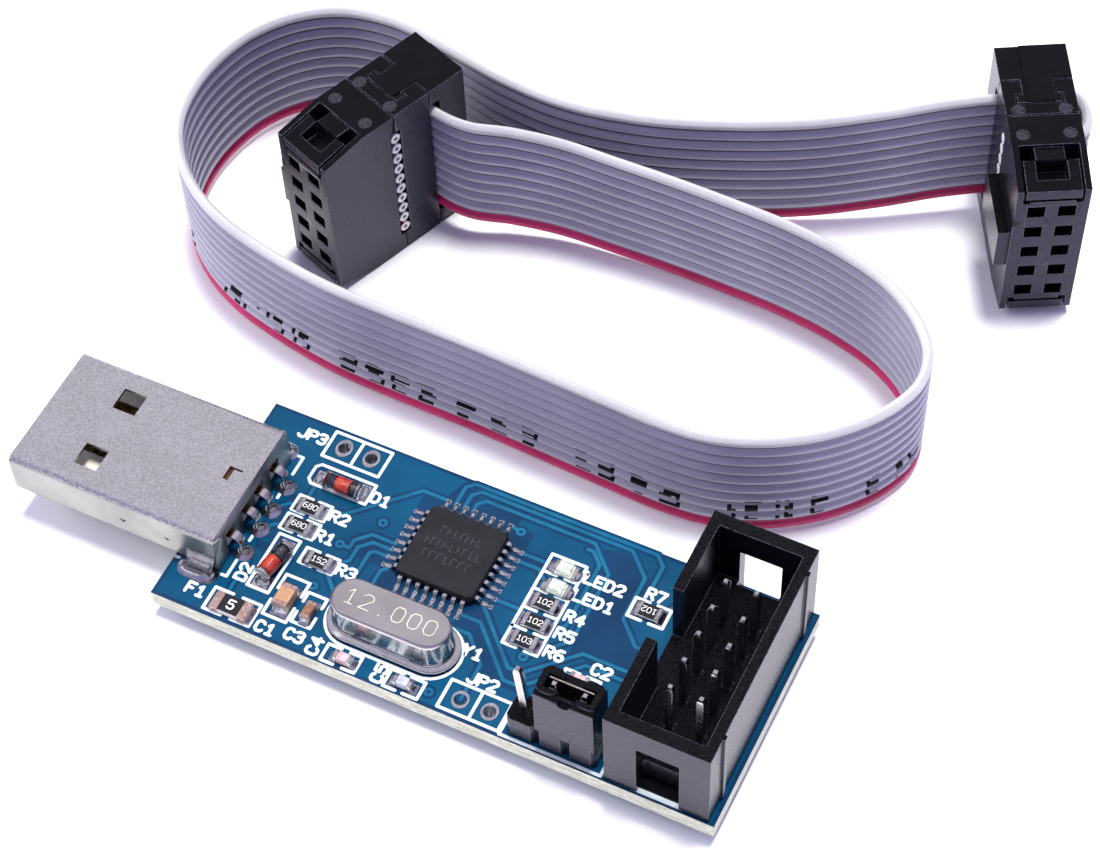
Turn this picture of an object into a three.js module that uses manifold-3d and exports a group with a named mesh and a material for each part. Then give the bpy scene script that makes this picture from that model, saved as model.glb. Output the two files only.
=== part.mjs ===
// USB microcontroller programmer with its ten-way ribbon cable.
// Frame: millimetres, +Z up. The circuit board lies flat, its USB plug towards -X and its box header
// towards +X. The origin is under the middle of the programmer, on the surface that its solder
// tails stand on. The ribbon cable lies loose on the same surface, behind the board (+Y).

import * as THREE from 'three';
import { mergeVertices } from 'three/addons/utils/BufferGeometryUtils.js';
import Module from 'manifold-3d';

const wasm = await Module();
wasm.setup();

// ---------- driving dimensions ----------

const fit = 0.02;                       // clearance between pieces that touch
const overallLength = 64.16;            // tip of the USB shell to the far edge of the board

const tailDrop = 1.4;                   // leads below the board's underside
const boardLength = 49.1;
const boardWidth = 20.46;
const boardThickness = 1.6;
const boardTop = tailDrop + boardThickness;
const seat = boardTop + fit;            // where surface-mounted pieces sit
const boardRight = overallLength / 2;
const boardLeft = boardRight - boardLength;

const pitch = 2.54;                     // pin pitch of both headers
const pinSize = 0.64;
const pinBevel = 0.35;
const pinHole = 0.5;                    // radius of a drilled hole for a square pin
const mouldedHole = 0.7;                // square hole in a moulding round a pin

const usbCentreY = -0.3;
const usbLength = 19.08;
const usbWidth = 12;
const usbHeight = 4.4;
const sheet = 0.3;                      // thickness of the shell's steel
const usbTip = -overallLength / 2;
const usbRear = usbTip + usbLength;
const usbBottom = seat;
const usbTop = usbBottom + usbHeight;
const windowSize = 2.1;
const windowX = usbTip + 6.1;
const windowOffset = 3;                 // from the plug's centre line
const tabSpan = 13.14;                  // between the two board tabs
const tabX = -14.3;
const tabWidth = 1.8;
const tongueTop = usbBottom + 2.25;
const contactOffsets = [-3.5, -1, 1, 3.5];
const contactWidth = 0.8;
const contactThickness = 0.25;
const contactZ = tongueTop - 0.05;      // middle of the blade
const contactHoleX = -12.06;

const headerX = 27.33;
const headerY = 0.08;
const shroudWidth = 8.9;
const shroudLength = 20.24;
const shroudHeight = 9.1;
const shroudWall = 0.9;                 // long walls
const shroudEndWall = 1.15;
const shroudFloor = 2.4;
const shroudFoot = 0.3;
const keySlotWidth = 4.7;
const endWindowWidth = 3.5;
const endWindowHeight = 6.45;
const ribHeight = 0.2;
const ribWidth = 0.5;
const ribOffset = 7.75;
const headerPinTop = boardTop + 8.35;

const modeX = 18.2;                     // middle pin of the three
const modeY = -8.43;
const modeBaseHeight = 2.5;
const modeBaseDepth = 2.5;
const modePinTop = boardTop + 8.45;
const modePinLean = 0.5;                // how far the bare pin's tip is bent away from the cap
const capLength = 4.98;
const capDepth = 2.6;
const capHeight = 5.85;
const capPadHeight = 0.45;
const capPadLength = 1.75;
const capPadInset = 0.25;
const clipThickness = 0.15;

const chipX = 3.44;
const chipY = 2.74;
const chipBody = 7;
const leadPitch = 0.8;
const leadWidth = 0.37;
const leadReach = 4.5;

const crystalX = 2.53;
const crystalY = -5.6;
const flangeLength = 11.4;
const flangeWidth = 4.7;
const canLength = 10.3;
const canWidth = 3.75;
const crystalHeight = 3.5;
const crystalLeadPitch = 4.88;
const crystalLeadRadius = 0.215;

const spareHoleRadius = 0.48;
const spareJumpers = [[-9.64, 8.57], [9.9, -8.54]];   // first hole of each unpopulated pair

const socketLength = 17;                // stands on its end, so this is its height
const socketWidth = 6.1;
const socketSeam = 7.65;                // mating face to the seam that holds the ribbon
const coverEnd = 11.5;
const reliefBar = 12.6;
const socketDepth = 15.4;
const ribbonSlot = 1.1;
const pieceGap = 0.1;
const sockets = {
  a: { x: -21.85, y: 25.91, angle: 68.6, exitSide: -1 },
  b: { x: 36.3, y: 47.75, angle: 118.3, exitSide: 1 },
};

const ribbonWidth = 12.7;
const ribbonThickness = 0.9;
const ribbonHeld = socketLength / 2;    // height of the ribbon's middle inside a socket
const ribbonDown = ribbonWidth / 2 + 0.2;   // height of its middle where it stands on the surface

// ---------- materials ----------

function material(color, roughness, metalness) {
  return new THREE.MeshStandardMaterial({ color, roughness, metalness });
}

const blueMask = material(0x125f8e, 0.35, 0);
const nickel = material(0xb9b6b2, 0.38, 1);
const tinned = material(0xc9c7c4, 0.3, 1);
const brass = material(0xd2b878, 0.25, 1);
const blackPlastic = material(0x1c1c20, 0.5, 0);
const whitePlastic = material(0xe9e6de, 0.5, 0);
const epoxy = material(0x26262a, 0.6, 0);
const redGlass = material(0xc8321e, 0.15, 0);
const resistorBlack = material(0x201d1d, 0.45, 0);
const tanCeramic = material(0xb08a5c, 0.5, 0);
const brownCeramic = material(0x8b5a3f, 0.5, 0);
const pinkCeramic = material(0xb9a0a6, 0.5, 0);
const greyCeramic = material(0x9da1ae, 0.5, 0);
const ledWhite = material(0xe7ead9, 0.3, 0);
const greyVinyl = material(0xb4b0bb, 0.5, 0);

// ---------- shape helpers ----------

function toManifold(geometry) {
  const bare = geometry.clone();
  bare.deleteAttribute('normal');
  bare.deleteAttribute('uv');
  const merged = mergeVertices(bare, 1e-4);
  return new wasm.Manifold(new wasm.Mesh({
    numProp: 3,
    vertProperties: new Float32Array(merged.attributes.position.array),
    triVerts: new Uint32Array(merged.index.array),
  }));
}

function toGeometry(manifold) {
  const mesh = manifold.getMesh();
  const geometry = new THREE.BufferGeometry();
  geometry.setAttribute('position', new THREE.BufferAttribute(mesh.vertProperties, 3));
  geometry.setIndex(new THREE.BufferAttribute(mesh.triVerts, 1));
  geometry.computeVertexNormals();
  return geometry;
}

// A box from its lowest to its highest corner.
function box(low, high) {
  const size = high.map((value, i) => value - low[i]);
  const geometry = new THREE.BoxGeometry(...size);
  geometry.translate(...low.map((value, i) => value + size[i] / 2));
  return geometry;
}

const solidBox = (low, high) => toManifold(box(low, high));

function cutAll(solid, tools) {
  return tools.reduce((rest, tool) => rest.subtract(tool), solid);
}

function joinAll(solids) {
  return solids.reduce((whole, solid) => whole.add(solid));
}

function rectangle(width, height) {
  return new THREE.Shape([
    new THREE.Vector2(-width / 2, -height / 2),
    new THREE.Vector2(width / 2, -height / 2),
    new THREE.Vector2(width / 2, height / 2),
    new THREE.Vector2(-width / 2, height / 2),
  ]);
}

function roundedRectangle(Outline, width, height, radius) {
  const outline = new Outline();
  const x = width / 2 - radius;
  const y = height / 2 - radius;
  outline.absarc(x, y, radius, 0, Math.PI / 2);
  outline.absarc(-x, y, radius, Math.PI / 2, Math.PI);
  outline.absarc(-x, -y, radius, Math.PI, 1.5 * Math.PI);
  outline.absarc(x, -y, radius, 1.5 * Math.PI, 2 * Math.PI);
  return outline;
}

function circleHole(x, y, radius) {
  const hole = new THREE.Path();
  hole.absarc(x, y, radius, 0, 2 * Math.PI);
  return hole;
}

function extrude(shape, depth, curveSegments = 4) {
  return new THREE.ExtrudeGeometry(shape, { depth, curveSegments, bevelEnabled: false });
}

// An outline given in X and Z, extruded along Y and centred on y.
function extrudeAlongY(points, width, y) {
  const shape = new THREE.Shape(points.map(([x, z]) => new THREE.Vector2(x, z)));
  const geometry = extrude(shape, width);
  geometry.rotateX(Math.PI / 2);
  geometry.translate(0, y + width / 2, 0);
  return geometry;
}

// An outline given in Y and Z, extruded along +X from x.
function extrudeAlongX(shape, length, x, curveSegments = 4) {
  const geometry = extrude(shape, length, curveSegments);
  geometry.rotateY(Math.PI / 2);
  geometry.rotateX(Math.PI / 2);
  geometry.translate(x, 0, 0);
  return geometry;
}

// A strip of even thickness that follows a line of X and Z points.
function stripOutline(line, thickness) {
  const side = (sign) => line.map(([x, z], i) => {
    const before = line[Math.max(i - 1, 0)];
    const after = line[Math.min(i + 1, line.length - 1)];
    const run = new THREE.Vector2(after[0] - before[0], after[1] - before[1]).normalize();
    const half = sign * thickness / 2;
    return [x - run.y * half, z + run.x * half];
  });
  return [...side(-1), ...side(1).reverse()];
}

const programmer = new THREE.Group();
programmer.name = 'programmer';

function add(name, shape, look, parent = programmer) {
  const geometry = shape.isBufferGeometry ? shape : toGeometry(shape);
  const mesh = new THREE.Mesh(geometry, look);
  mesh.name = name;
  parent.add(mesh);
  return mesh;
}

// ---------- circuit board ----------

const headerPins = [];
for (let row = 0; row < 5; row += 1) {
  for (let column = 0; column < 2; column += 1) {
    headerPins.push([headerX + (column - 0.5) * pitch, headerY + (2 - row) * pitch]);
  }
}
const modePins = [-1, 0, 1].map((i) => [modeX + i * pitch, modeY]);
const crystalLeads = [-1, 1].map((i) => [crystalX + i * crystalLeadPitch / 2, crystalY]);
const usbContacts = contactOffsets.map((offset) => [contactHoleX, usbCentreY + offset]);
const tabs = [-1, 1].map((side) => ({ side, y: usbCentreY + side * tabSpan / 2 }));

function circuitBoard() {
  const shape = rectangle(boardLength, boardWidth);
  const middle = (boardLeft + boardRight) / 2;
  const drill = (x, y, radius) => shape.holes.push(circleHole(x - middle, y, radius));
  [...headerPins, ...modePins, ...usbContacts].forEach(([x, y]) => drill(x, y, pinHole));
  crystalLeads.forEach(([x, y]) => drill(x, y, crystalLeadRadius + 0.15));
  for (const [x, y] of spareJumpers) {
    drill(x, y, spareHoleRadius);
    drill(x + pitch, y, spareHoleRadius);
  }
  for (const tab of tabs) {
    const slot = roundedRectangle(THREE.Path, tabWidth + 0.6, 0.9, 0.44);
    shape.holes.push(new THREE.Path(
      slot.getPoints(3).map((p) => new THREE.Vector2(p.x + tabX - middle, p.y + tab.y)),
    ));
  }
  const geometry = extrude(shape, boardThickness, 7);
  geometry.translate(middle, 0, tailDrop);
  return geometry;
}

add('circuit_board', circuitBoard(), blueMask);

// ---------- USB plug ----------

function usbShell() {
  const tube = roundedRectangle(THREE.Shape, usbWidth, usbHeight, 0.6);
  tube.holes.push(roundedRectangle(THREE.Path, usbWidth - 2 * sheet, usbHeight - 2 * sheet, 0.3));
  const wall = extrudeAlongX(tube, usbLength, usbTip);
  wall.translate(0, usbCentreY, usbBottom + usbHeight / 2);
  const half = usbWidth / 2 - 0.1;
  const rear = solidBox(
    [usbRear - sheet, usbCentreY - half, usbBottom + 0.15],
    [usbRear, usbCentreY + half, usbTop - 0.1],
  );
  const windows = [-1, 1].map((side) => {
    const y = usbCentreY + side * windowOffset;
    const reach = windowSize / 2;
    return solidBox([windowX - reach, y - reach, usbBottom - 1], [windowX + reach, y + reach, usbTop + 1]);
  });
  const notches = usbContacts.map(([, y]) => solidBox(
    [usbRear - 2 * sheet, y - 0.7, usbBottom - 1],
    [usbRear + 1, y + 0.7, contactZ + 0.65],
  ));
  const lance = solidBox([-15.3, usbCentreY - 0.35, usbTop - 1], [-14.1, usbCentreY + 0.95, usbTop + 1]);
  const legs = tabs.map(({ side, y }) => {
    const inner = usbCentreY + side * (usbWidth / 2 - sheet / 2);
    const [x0, x1] = [tabX - tabWidth / 2, tabX + tabWidth / 2];
    const shelf = solidBox(
      [x0, Math.min(inner, y + side * sheet / 2), usbBottom + 0.9],
      [x1, Math.max(inner, y + side * sheet / 2), usbBottom + 0.9 + sheet],
    );
    const drop = solidBox([x0, y - sheet / 2, 0], [x1, y + sheet / 2, usbBottom + 0.9 + sheet]);
    return shelf.add(drop);
  });
  return cutAll(joinAll([toManifold(wall), rear, ...legs]), [...windows, ...notches, lance]);
}

function usbInsulator() {
  const half = usbWidth / 2 - sheet - 0.15;
  const low = usbBottom + sheet + 0.1;
  const high = usbTop - sheet - 0.1;
  const rear = usbRear - sheet - 0.1;
  const tongue = solidBox([usbTip + 1, usbCentreY - half, low], [rear, usbCentreY + half, tongueTop]);
  const block = solidBox([rear - 5.9, usbCentreY - half, low], [rear, usbCentreY + half, high]);
  const grooves = usbContacts.map(([, y]) => solidBox(
    [usbTip + 1.4, y - contactWidth / 2 - 0.1, contactZ - contactThickness / 2 - fit],
    [usbRear, y + contactWidth / 2 + 0.1, contactZ + contactThickness / 2 + 0.1],
  ));
  return cutAll(tongue.add(block), grooves);
}

function usbContact(y) {
  const bend = 0.75;
  const line = [[usbTip + 1.6, contactZ], [contactHoleX - bend, contactZ]];
  for (let step = 1; step <= 5; step += 1) {
    const turn = step * Math.PI / 10;
    line.push([
      contactHoleX - bend + bend * Math.sin(turn),
      contactZ - bend + bend * Math.cos(turn),
    ]);
  }
  line.push([contactHoleX, 0]);
  return extrudeAlongY(stripOutline(line, contactThickness), contactWidth, y);
}

add('usb_shell', usbShell(), nickel);
add('usb_insulator', usbInsulator(), whitePlastic);
usbContacts.forEach(([, y], i) => add(`usb_contact_${i + 1}`, usbContact(y), tinned));

// ---------- square pins ----------

// A square pin from the tails' level to its tip. Above the bend height it may lean along X, so that
// its tip is out by the given distance.
const bendHeight = seat + modeBaseHeight;

function squarePin(x, y, top, lean = 0) {
  const corner = pinSize / Math.SQRT2;
  const tip = corner * 0.5;
  const profile = [
    [0, 0], [tip, 0], [corner, pinBevel], [corner, bendHeight],
    [corner, top - pinBevel], [tip, top], [0, top],
  ].map(([radius, z]) => new THREE.Vector2(radius, z));
  const geometry = new THREE.LatheGeometry(profile, 4, Math.PI / 4);
  geometry.rotateX(Math.PI / 2);
  const positions = geometry.attributes.position;
  for (let i = 0; i < positions.count; i += 1) {
    const above = Math.max(positions.getZ(i) - bendHeight, 0);
    positions.setX(i, positions.getX(i) + lean * above / (top - bendHeight));
  }
  geometry.translate(x, y, 0);
  return geometry;
}

// Square holes for the pins through a moulding, up to a height.
function pinHolesIn(pins, top) {
  const half = mouldedHole / 2;
  return pins.map(([x, y]) => solidBox([x - half, y - half, seat - 1], [x + half, y + half, top]));
}

// ---------- ISP box header ----------

function headerShroud() {
  const [w, l] = [shroudWidth / 2, shroudLength / 2];
  const top = seat + shroudHeight;
  const at = (low, high) => solidBox(
    [headerX + low[0], headerY + low[1], low[2]],
    [headerX + high[0], headerY + high[1], high[2]],
  );
  const block = at([-w, -l, seat], [w - ribHeight, l, top]);
  const ribs = [-1, 1].map((side) => at(
    [w - 1, side * ribOffset - ribWidth / 2, seat + shroudFoot],
    [w, side * ribOffset + ribWidth / 2, top],
  ));
  const cavity = at(
    [-w + shroudWall, -l + shroudEndWall, seat + shroudFloor],
    [w - ribHeight - shroudWall, l - shroudEndWall, top + 1],
  );
  const keySlot = at(
    [-w - 1, -keySlotWidth / 2, seat + shroudFloor],
    [-w + shroudWall + 0.5, keySlotWidth / 2, top + 1],
  );
  const underside = at(
    [-w - 1, -l + shroudEndWall, seat - 1],
    [w + 1, l - shroudEndWall, seat + shroudFoot],
  );
  const endReach = shroudEndWall / 2 + 0.4;
  const endWindows = [-1, 1].map((side) => at(
    [-endWindowWidth / 2, side * (l - shroudEndWall / 2) - endReach, seat - 1],
    [endWindowWidth / 2, side * (l - shroudEndWall / 2) + endReach, seat + endWindowHeight],
  ));
  const pinHoles = pinHolesIn(headerPins, seat + shroudFloor + 1);
  return cutAll(joinAll([block, ...ribs]), [cavity, keySlot, underside, ...endWindows, ...pinHoles]);
}

add('isp_header_shroud', headerShroud(), blackPlastic);
headerPins.forEach(([x, y], i) => add(`isp_header_pin_${i + 1}`, squarePin(x, y, headerPinTop), tinned));

// ---------- mode jumper ----------

// Three moulded blocks in a row, joined at narrow necks, with a square hole for each pin.
function modeBase() {
  const half = modeBaseDepth / 2;
  const notch = 0.4;
  const front = [];
  for (let block = -1; block <= 1; block += 1) {
    const x = block * pitch;
    front.push([x - pitch / 2, -half + notch], [x - pitch / 2 + notch, -half]);
    front.push([x + pitch / 2 - notch, -half]);
  }
  front.push([1.5 * pitch, -half + notch]);
  const back = front.map(([x, y]) => [-x, -y]);
  const shape = new THREE.Shape([...front, ...back].map(([x, y]) => new THREE.Vector2(x, y)));
  const geometry = extrude(shape, modeBaseHeight);
  geometry.translate(modeX, modeY, seat);
  return cutAll(toManifold(geometry), pinHolesIn(modePins, seat + modeBaseHeight + 1));
}

add('mode_header_base', modeBase(), blackPlastic);
modePins.forEach(([x, y], i) => {
  const lean = i === 0 ? -modePinLean : 0;
  add(`mode_header_pin_${i + 1}`, squarePin(x, y, modePinTop, lean), tinned);
});

const capX = modeX + pitch / 2;
const capBottom = seat + modeBaseHeight + 0.1;
const capTop = capBottom + capHeight;
const capGrooveHalf = 0.62;

// A tall block over two pins, with a rounded pad at each end of its top and a well through both.
function jumperCap() {
  const [l, d] = [capLength / 2, capDepth / 2];
  const block = solidBox(
    [capX - l, modeY - d, capBottom],
    [capX + l, modeY + d, capTop - capPadHeight],
  );
  const pads = [-1, 1].map((side) => {
    const outline = roundedRectangle(THREE.Shape, capPadLength, capDepth - capPadInset, 0.6);
    const pad = extrude(outline, capPadHeight + 0.5);
    pad.translate(
      capX + side * (l - capPadLength / 2), modeY + capPadInset / 2, capTop - capPadHeight - 0.5,
    );
    return toManifold(pad);
  });
  const well = solidBox(
    [capX - 1.95, modeY - capGrooveHalf, capBottom - 1],
    [capX + 1.95, modeY + capGrooveHalf, capTop + 1],
  );
  const thumbNotch = new THREE.CylinderGeometry(0.55, 0.55, 1, 12);
  thumbNotch.translate(capX, modeY - d, capTop - capPadHeight);
  return cutAll(joinAll([block, ...pads]), [well, toManifold(thumbNotch)]);
}

// The clip: a tall leaf behind both pins and a low one before them with an upright at each pin,
// joined by a web in the middle.
function jumperClip() {
  const gap = pinSize / 2 + fit;
  const low = capBottom + 0.3;
  const strip = (x0, x1, y0, y1, top) => solidBox(
    [capX + x0, modeY + y0, low],
    [capX + x1, modeY + y1, top],
  );
  const [near, far] = [gap, gap + clipThickness];
  return joinAll([
    strip(-1.85, 1.85, near, far, capTop - 0.1),
    strip(-1.85, 1.85, -far, -near, low + 1.2),
    strip(-1.85, -0.85, -far, -near, capTop - 0.55),
    strip(0.85, 1.85, -far, -near, capTop - 0.55),
    strip(-0.3, 0.3, -near - 0.05, near + 0.05, low + 1.2),
  ]);
}

add('jumper_cap', jumperCap(), blackPlastic);
add('jumper_clip', jumperClip(), brass);

// ---------- microcontroller ----------

// Square frustum between two heights, from its half widths.
function frustum(halfBottom, halfTop, low, high) {
  const geometry = new THREE.CylinderGeometry(
    halfTop * Math.SQRT2, halfBottom * Math.SQRT2, high - low, 4,
  );
  geometry.rotateY(Math.PI / 4);
  geometry.rotateX(Math.PI / 2);
  geometry.translate(0, 0, (low + high) / 2);
  return toManifold(geometry);
}

function gullWingLead(offset) {
  const line = [[3.2, 0.6], [3.72, 0.6], [3.86, 0.5], [4.0, 0.14], [4.12, 0.06], [leadReach, 0.06]];
  return extrudeAlongY(stripOutline(line, 0.12), leadWidth, offset);
}

function microcontroller() {
  const half = chipBody / 2;
  const pieces = [frustum(half - 0.12, half, 0.12, 0.62), frustum(half, half - 0.12, 0.615, 1.12)];
  for (let side = 0; side < 4; side += 1) {
    for (let lead = 0; lead < 8; lead += 1) {
      const geometry = gullWingLead((lead - 3.5) * leadPitch);
      geometry.rotateZ(side * Math.PI / 2);
      pieces.push(toManifold(geometry));
    }
  }
  return joinAll(pieces);
}

add('microcontroller', microcontroller(), epoxy).position.set(chipX, chipY, seat);

// ---------- crystal ----------

function stadium(length, width, low, high) {
  const geometry = extrude(roundedRectangle(THREE.Shape, length, width, width / 2 - 0.001), high - low, 8);
  geometry.translate(crystalX, crystalY, seat + low);
  return geometry;
}

function crystalCan() {
  const lip = toManifold(stadium(flangeLength, flangeWidth, 0.36, 0.62));
  const can = toManifold(stadium(canLength, canWidth, 0.5, crystalHeight - 0.2));
  const crown = toManifold(stadium(canLength - 0.4, canWidth - 0.4, 1, crystalHeight));
  return joinAll([lip, can, crown]);
}

add('crystal_base', stadium(flangeLength - 0.2, flangeWidth - 0.2, 0, 0.34), nickel);
add('crystal_can', crystalCan(), nickel);
crystalLeads.forEach(([x, y], i) => {
  const lead = new THREE.CylinderGeometry(crystalLeadRadius, crystalLeadRadius, boardTop - 0.3, 8);
  lead.rotateX(Math.PI / 2);
  lead.translate(x, y, (boardTop + 0.3) / 2);
  add(`crystal_lead_${i + 1}`, lead, tinned);
});

// ---------- small chips ----------

// A chip with a slightly fuller terminal at each end.
function chipPiece(length, width, height, terminal) {
  const skin = 0.03;
  const body = solidBox(
    [-length / 2 + 0.1, -width / 2 + skin, skin],
    [length / 2 - 0.1, width / 2 - skin, height - skin],
  );
  const ends = [-1, 1].map((side) => {
    const [near, far] = [side * (length / 2 - terminal), side * length / 2];
    return solidBox([Math.min(near, far), -width / 2, 0], [Math.max(near, far), width / 2, height]);
  });
  return joinAll([body, ...ends]);
}

function placeChip(name, x, y, turned, size, look) {
  const mesh = add(name, chipPiece(...size), look);
  mesh.position.set(x, y, seat);
  mesh.rotation.z = turned ? Math.PI / 2 : 0;
}

const size0603 = [1.6, 0.82, 0.8, 0.35];
const size0805 = [2.05, 1.25, 0.5, 0.38];
const size0805Tall = [2.05, 1.35, 1.25, 0.4];
const size1206 = [3.2, 1.6, 0.75, 0.55];

const resistors = [
  [-9.19, 0.15], [-9.18, 2.07], [-6.06, -2.18], [12.07, 1.92], [12.17, 0], [12.12, -1.85], [19.85, 4.68],
];
resistors.forEach(([x, y], i) => {
  placeChip(`resistor_${i + 1}`, x, y, false, size0805, resistorBlack);
});
placeChip('fuse', -10.26, -8.92, false, size1206, resistorBlack);
placeChip('capacitor_1', -6.7, -6.5, true, size0805Tall, tanCeramic);
placeChip('capacitor_2', 17.6, -3.35, false, size0603, pinkCeramic);
placeChip('capacitor_3', -4.5, -6.75, true, size0603, brownCeramic);
placeChip('capacitor_4', 0.06, -9.35, false, size0603, pinkCeramic);
placeChip('capacitor_5', 5.32, -9.28, false, size0603, greyCeramic);

// A flat carrier with a tapered lens on its middle.
function ledPiece() {
  const lens = frustum(0.68, 0.56, 0.3, 0.8);
  return chipPiece(2.05, 1.25, 0.35, 0.35).add(lens);
}

[[12.33, 3.6], [12.18, 5.42]].forEach(([x, y], i) => {
  add(`led_${i + 1}`, ledPiece(), ledWhite).position.set(x, y, seat);
});

// ---------- glass diodes ----------

function diode() {
  const [length, cap, glassRadius, capRadius] = [3.4, 0.42, 0.68, 0.74];
  const end = length / 2;
  const profile = [
    [0, -end], [capRadius, -end], [capRadius, -end + cap], [glassRadius, -end + cap],
    [glassRadius, end - cap], [capRadius, end - cap], [capRadius, end], [0, end],
  ].map(([radius, along]) => new THREE.Vector2(radius, along));
  const geometry = new THREE.LatheGeometry(profile, 16);
  geometry.rotateZ(-Math.PI / 2);
  geometry.translate(0, 0, capRadius);
  return geometry;
}

[[-7.7, 4.85, 0], [-9.2, -3.85, Math.PI / 2]].forEach(([x, y, turn], i) => {
  const mesh = add(`diode_${i + 1}`, diode(), redGlass);
  mesh.position.set(x, y, seat);
  mesh.rotation.z = turn;
});

// ---------- ribbon sockets ----------
// Each socket stands on one end. Its own X runs from the mating face to the back, its own Y across
// its two columns of contacts, and its own Z along its length.

const socketHalf = socketWidth / 2;
const slotLow = socketLength / 2 - ribbonWidth / 2 - 0.15;
const slotHigh = socketLength - slotLow;
const legHeight = slotLow - 0.3;

// The same tool at the bottom end and, mirrored, at the top end.
function atBothEnds(x0, x1, halfWidth, z0, z1) {
  return [
    solidBox([x0, -halfWidth, z0], [x1, halfWidth, z1]),
    solidBox([x0, -halfWidth, socketLength - z1], [x1, halfWidth, socketLength - z0]),
  ];
}

// The body has a spring latch at each end: a plate with a hole, free at its sides and under its lip.
function socketBody() {
  const seam = socketSeam - pieceGap / 2;
  const taper = 0.9;
  const outline = [
    [0, taper], [4.2, 0], [seam, 0],
    [seam, socketLength], [4.2, socketLength], [0, socketLength - taper],
  ];
  const block = toManifold(extrudeAlongY(outline, socketWidth, 0));
  const key = solidBox(
    [0.4, socketHalf - 0.5, socketLength / 2 - 2.1],
    [seam - 0.6, socketHalf + 1, socketLength / 2 + 2.1],
  );
  const contactHoles = [];
  for (let row = -2; row <= 2; row += 1) {
    for (const column of [-1, 1]) {
      const y = column * pitch / 2;
      const z = socketLength / 2 + row * pitch;
      contactHoles.push(solidBox([-1, y - 0.72, z - 0.62], [6.4, y + 0.72, z + 0.62]));
    }
  }
  const ribbonGroove = solidBox([socketSeam - ribbonSlot / 2, -9, slotLow], [9, 9, slotHigh]);
  const latchPockets = atBothEnds(-1, 4.3, 2.5, -1, 1.9);
  const plates = atBothEnds(0, 2.9, 2.3, 0, 2.4);
  const bridges = atBothEnds(2.8, 4.4, 1.25, 0.3, 2.4);
  const latches = block.intersect(joinAll([...plates, ...bridges]));
  const latchHoles = atBothEnds(1.1, 2.85, 1.3, -1, 1.75);
  const lipSlits = atBothEnds(-1, 0.5, 2.5, 1.85, 2.35);
  const lipFloors = atBothEnds(0, 0.6, 1.9, 2.1, 2.5);
  const recessed = cutAll(joinAll([block, key]), [...contactHoles, ribbonGroove, ...latchPockets]);
  const latched = cutAll(joinAll([recessed, latches]), [...latchHoles, ...lipSlits]);
  return joinAll([latched, ...lipFloors]);
}

function socketCover() {
  const block = solidBox(
    [socketSeam + pieceGap / 2, -socketHalf, 0],
    [coverEnd, socketHalf, socketLength],
  );
  const ribbonGroove = solidBox([0, -9, slotLow], [socketSeam + ribbonSlot / 2, 9, slotHigh]);
  const legNotches = atBothEnds(8.9, coverEnd + 1, 1.5, -1, legHeight + pieceGap);
  const barbNotches = atBothEnds(8.9, 10, 2.0, -1, legHeight + pieceGap);
  return cutAll(block, [ribbonGroove, ...legNotches, ...barbNotches]);
}

function socketRelief() {
  const bar = solidBox([reliefBar, -socketHalf, 0], [socketDepth, socketHalf, socketLength]);
  const shoulders = atBothEnds(coverEnd + pieceGap, socketDepth, socketHalf, 0, legHeight);
  const legs = atBothEnds(9, socketDepth, 1.5 - pieceGap, 0, legHeight);
  const barbs = atBothEnds(9, 9.9, 2.0 - pieceGap, 0, legHeight);
  return joinAll([bar, ...shoulders, ...legs, ...barbs]);
}

const cable = new THREE.Group();
cable.name = 'isp_cable';
programmer.add(cable);

for (const [letter, place] of Object.entries(sockets)) {
  const group = new THREE.Group();
  group.position.set(place.x, place.y, 0);
  group.rotation.z = THREE.MathUtils.degToRad(place.angle);
  add(`socket_${letter}_body`, socketBody(), blackPlastic, group);
  add(`socket_${letter}_cover`, socketCover(), blackPlastic, group);
  add(`socket_${letter}_strain_relief`, socketRelief(), blackPlastic, group);
  cable.add(group);
}

// ---------- ribbon ----------

// Where the ribbon's middle runs between the sockets: x, y and height, laid by hand.
const ribbonLay = [
  [-11.6, 35.9, 8.2], [-8.0, 37.1, 7.8], [-3.8, 38.1, 7.3], [1.0, 38.5, 6.9], [6.0, 38.7, 6.7],
  [11.5, 38.7, ribbonDown], [17.0, 38.4, ribbonDown], [22.0, 37.6, ribbonDown],
  [26.6, 36.1, ribbonDown], [30.0, 33.8, ribbonDown], [32.2, 30.9, ribbonDown],
  [32.7, 27.9, ribbonDown], [31.7, 24.9, ribbonDown], [29.6, 21.9, ribbonDown],
  [26.9, 19.4, ribbonDown], [23.6, 17.4, ribbonDown], [20.0, 16.1, ribbonDown],
  [15.8, 15.7, ribbonDown], [10.6, 15.9, ribbonDown], [4.6, 16.2, ribbonDown],
  [-2.0, 16.5, ribbonDown], [-8.6, 16.6, ribbonDown], [-15.0, 16.9, ribbonDown],
  [-21.0, 17.9, ribbonDown], [-26.3, 19.4, ribbonDown], [-30.2, 21.5, ribbonDown],
  [-33.2, 24.3, ribbonDown], [-35.1, 27.5, ribbonDown], [-35.9, 31.2, ribbonDown],
  [-35.7, 35.1, ribbonDown], [-34.5, 39.0, ribbonDown], [-32.0, 42.4, ribbonDown],
  [-28.6, 44.6, ribbonDown], [-24.0, 45.4, ribbonDown], [-18.4, 44.6, ribbonDown],
  [-12.2, 43.3, ribbonDown], [-6.0, 42.9, ribbonDown], [0.8, 44.0, ribbonDown], [8.0, 46.4, 6.7],
  [14.4, 49.1, 7.1], [20.0, 52.1, 7.8], [24.3, 54.8, 8.3],
];

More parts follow.
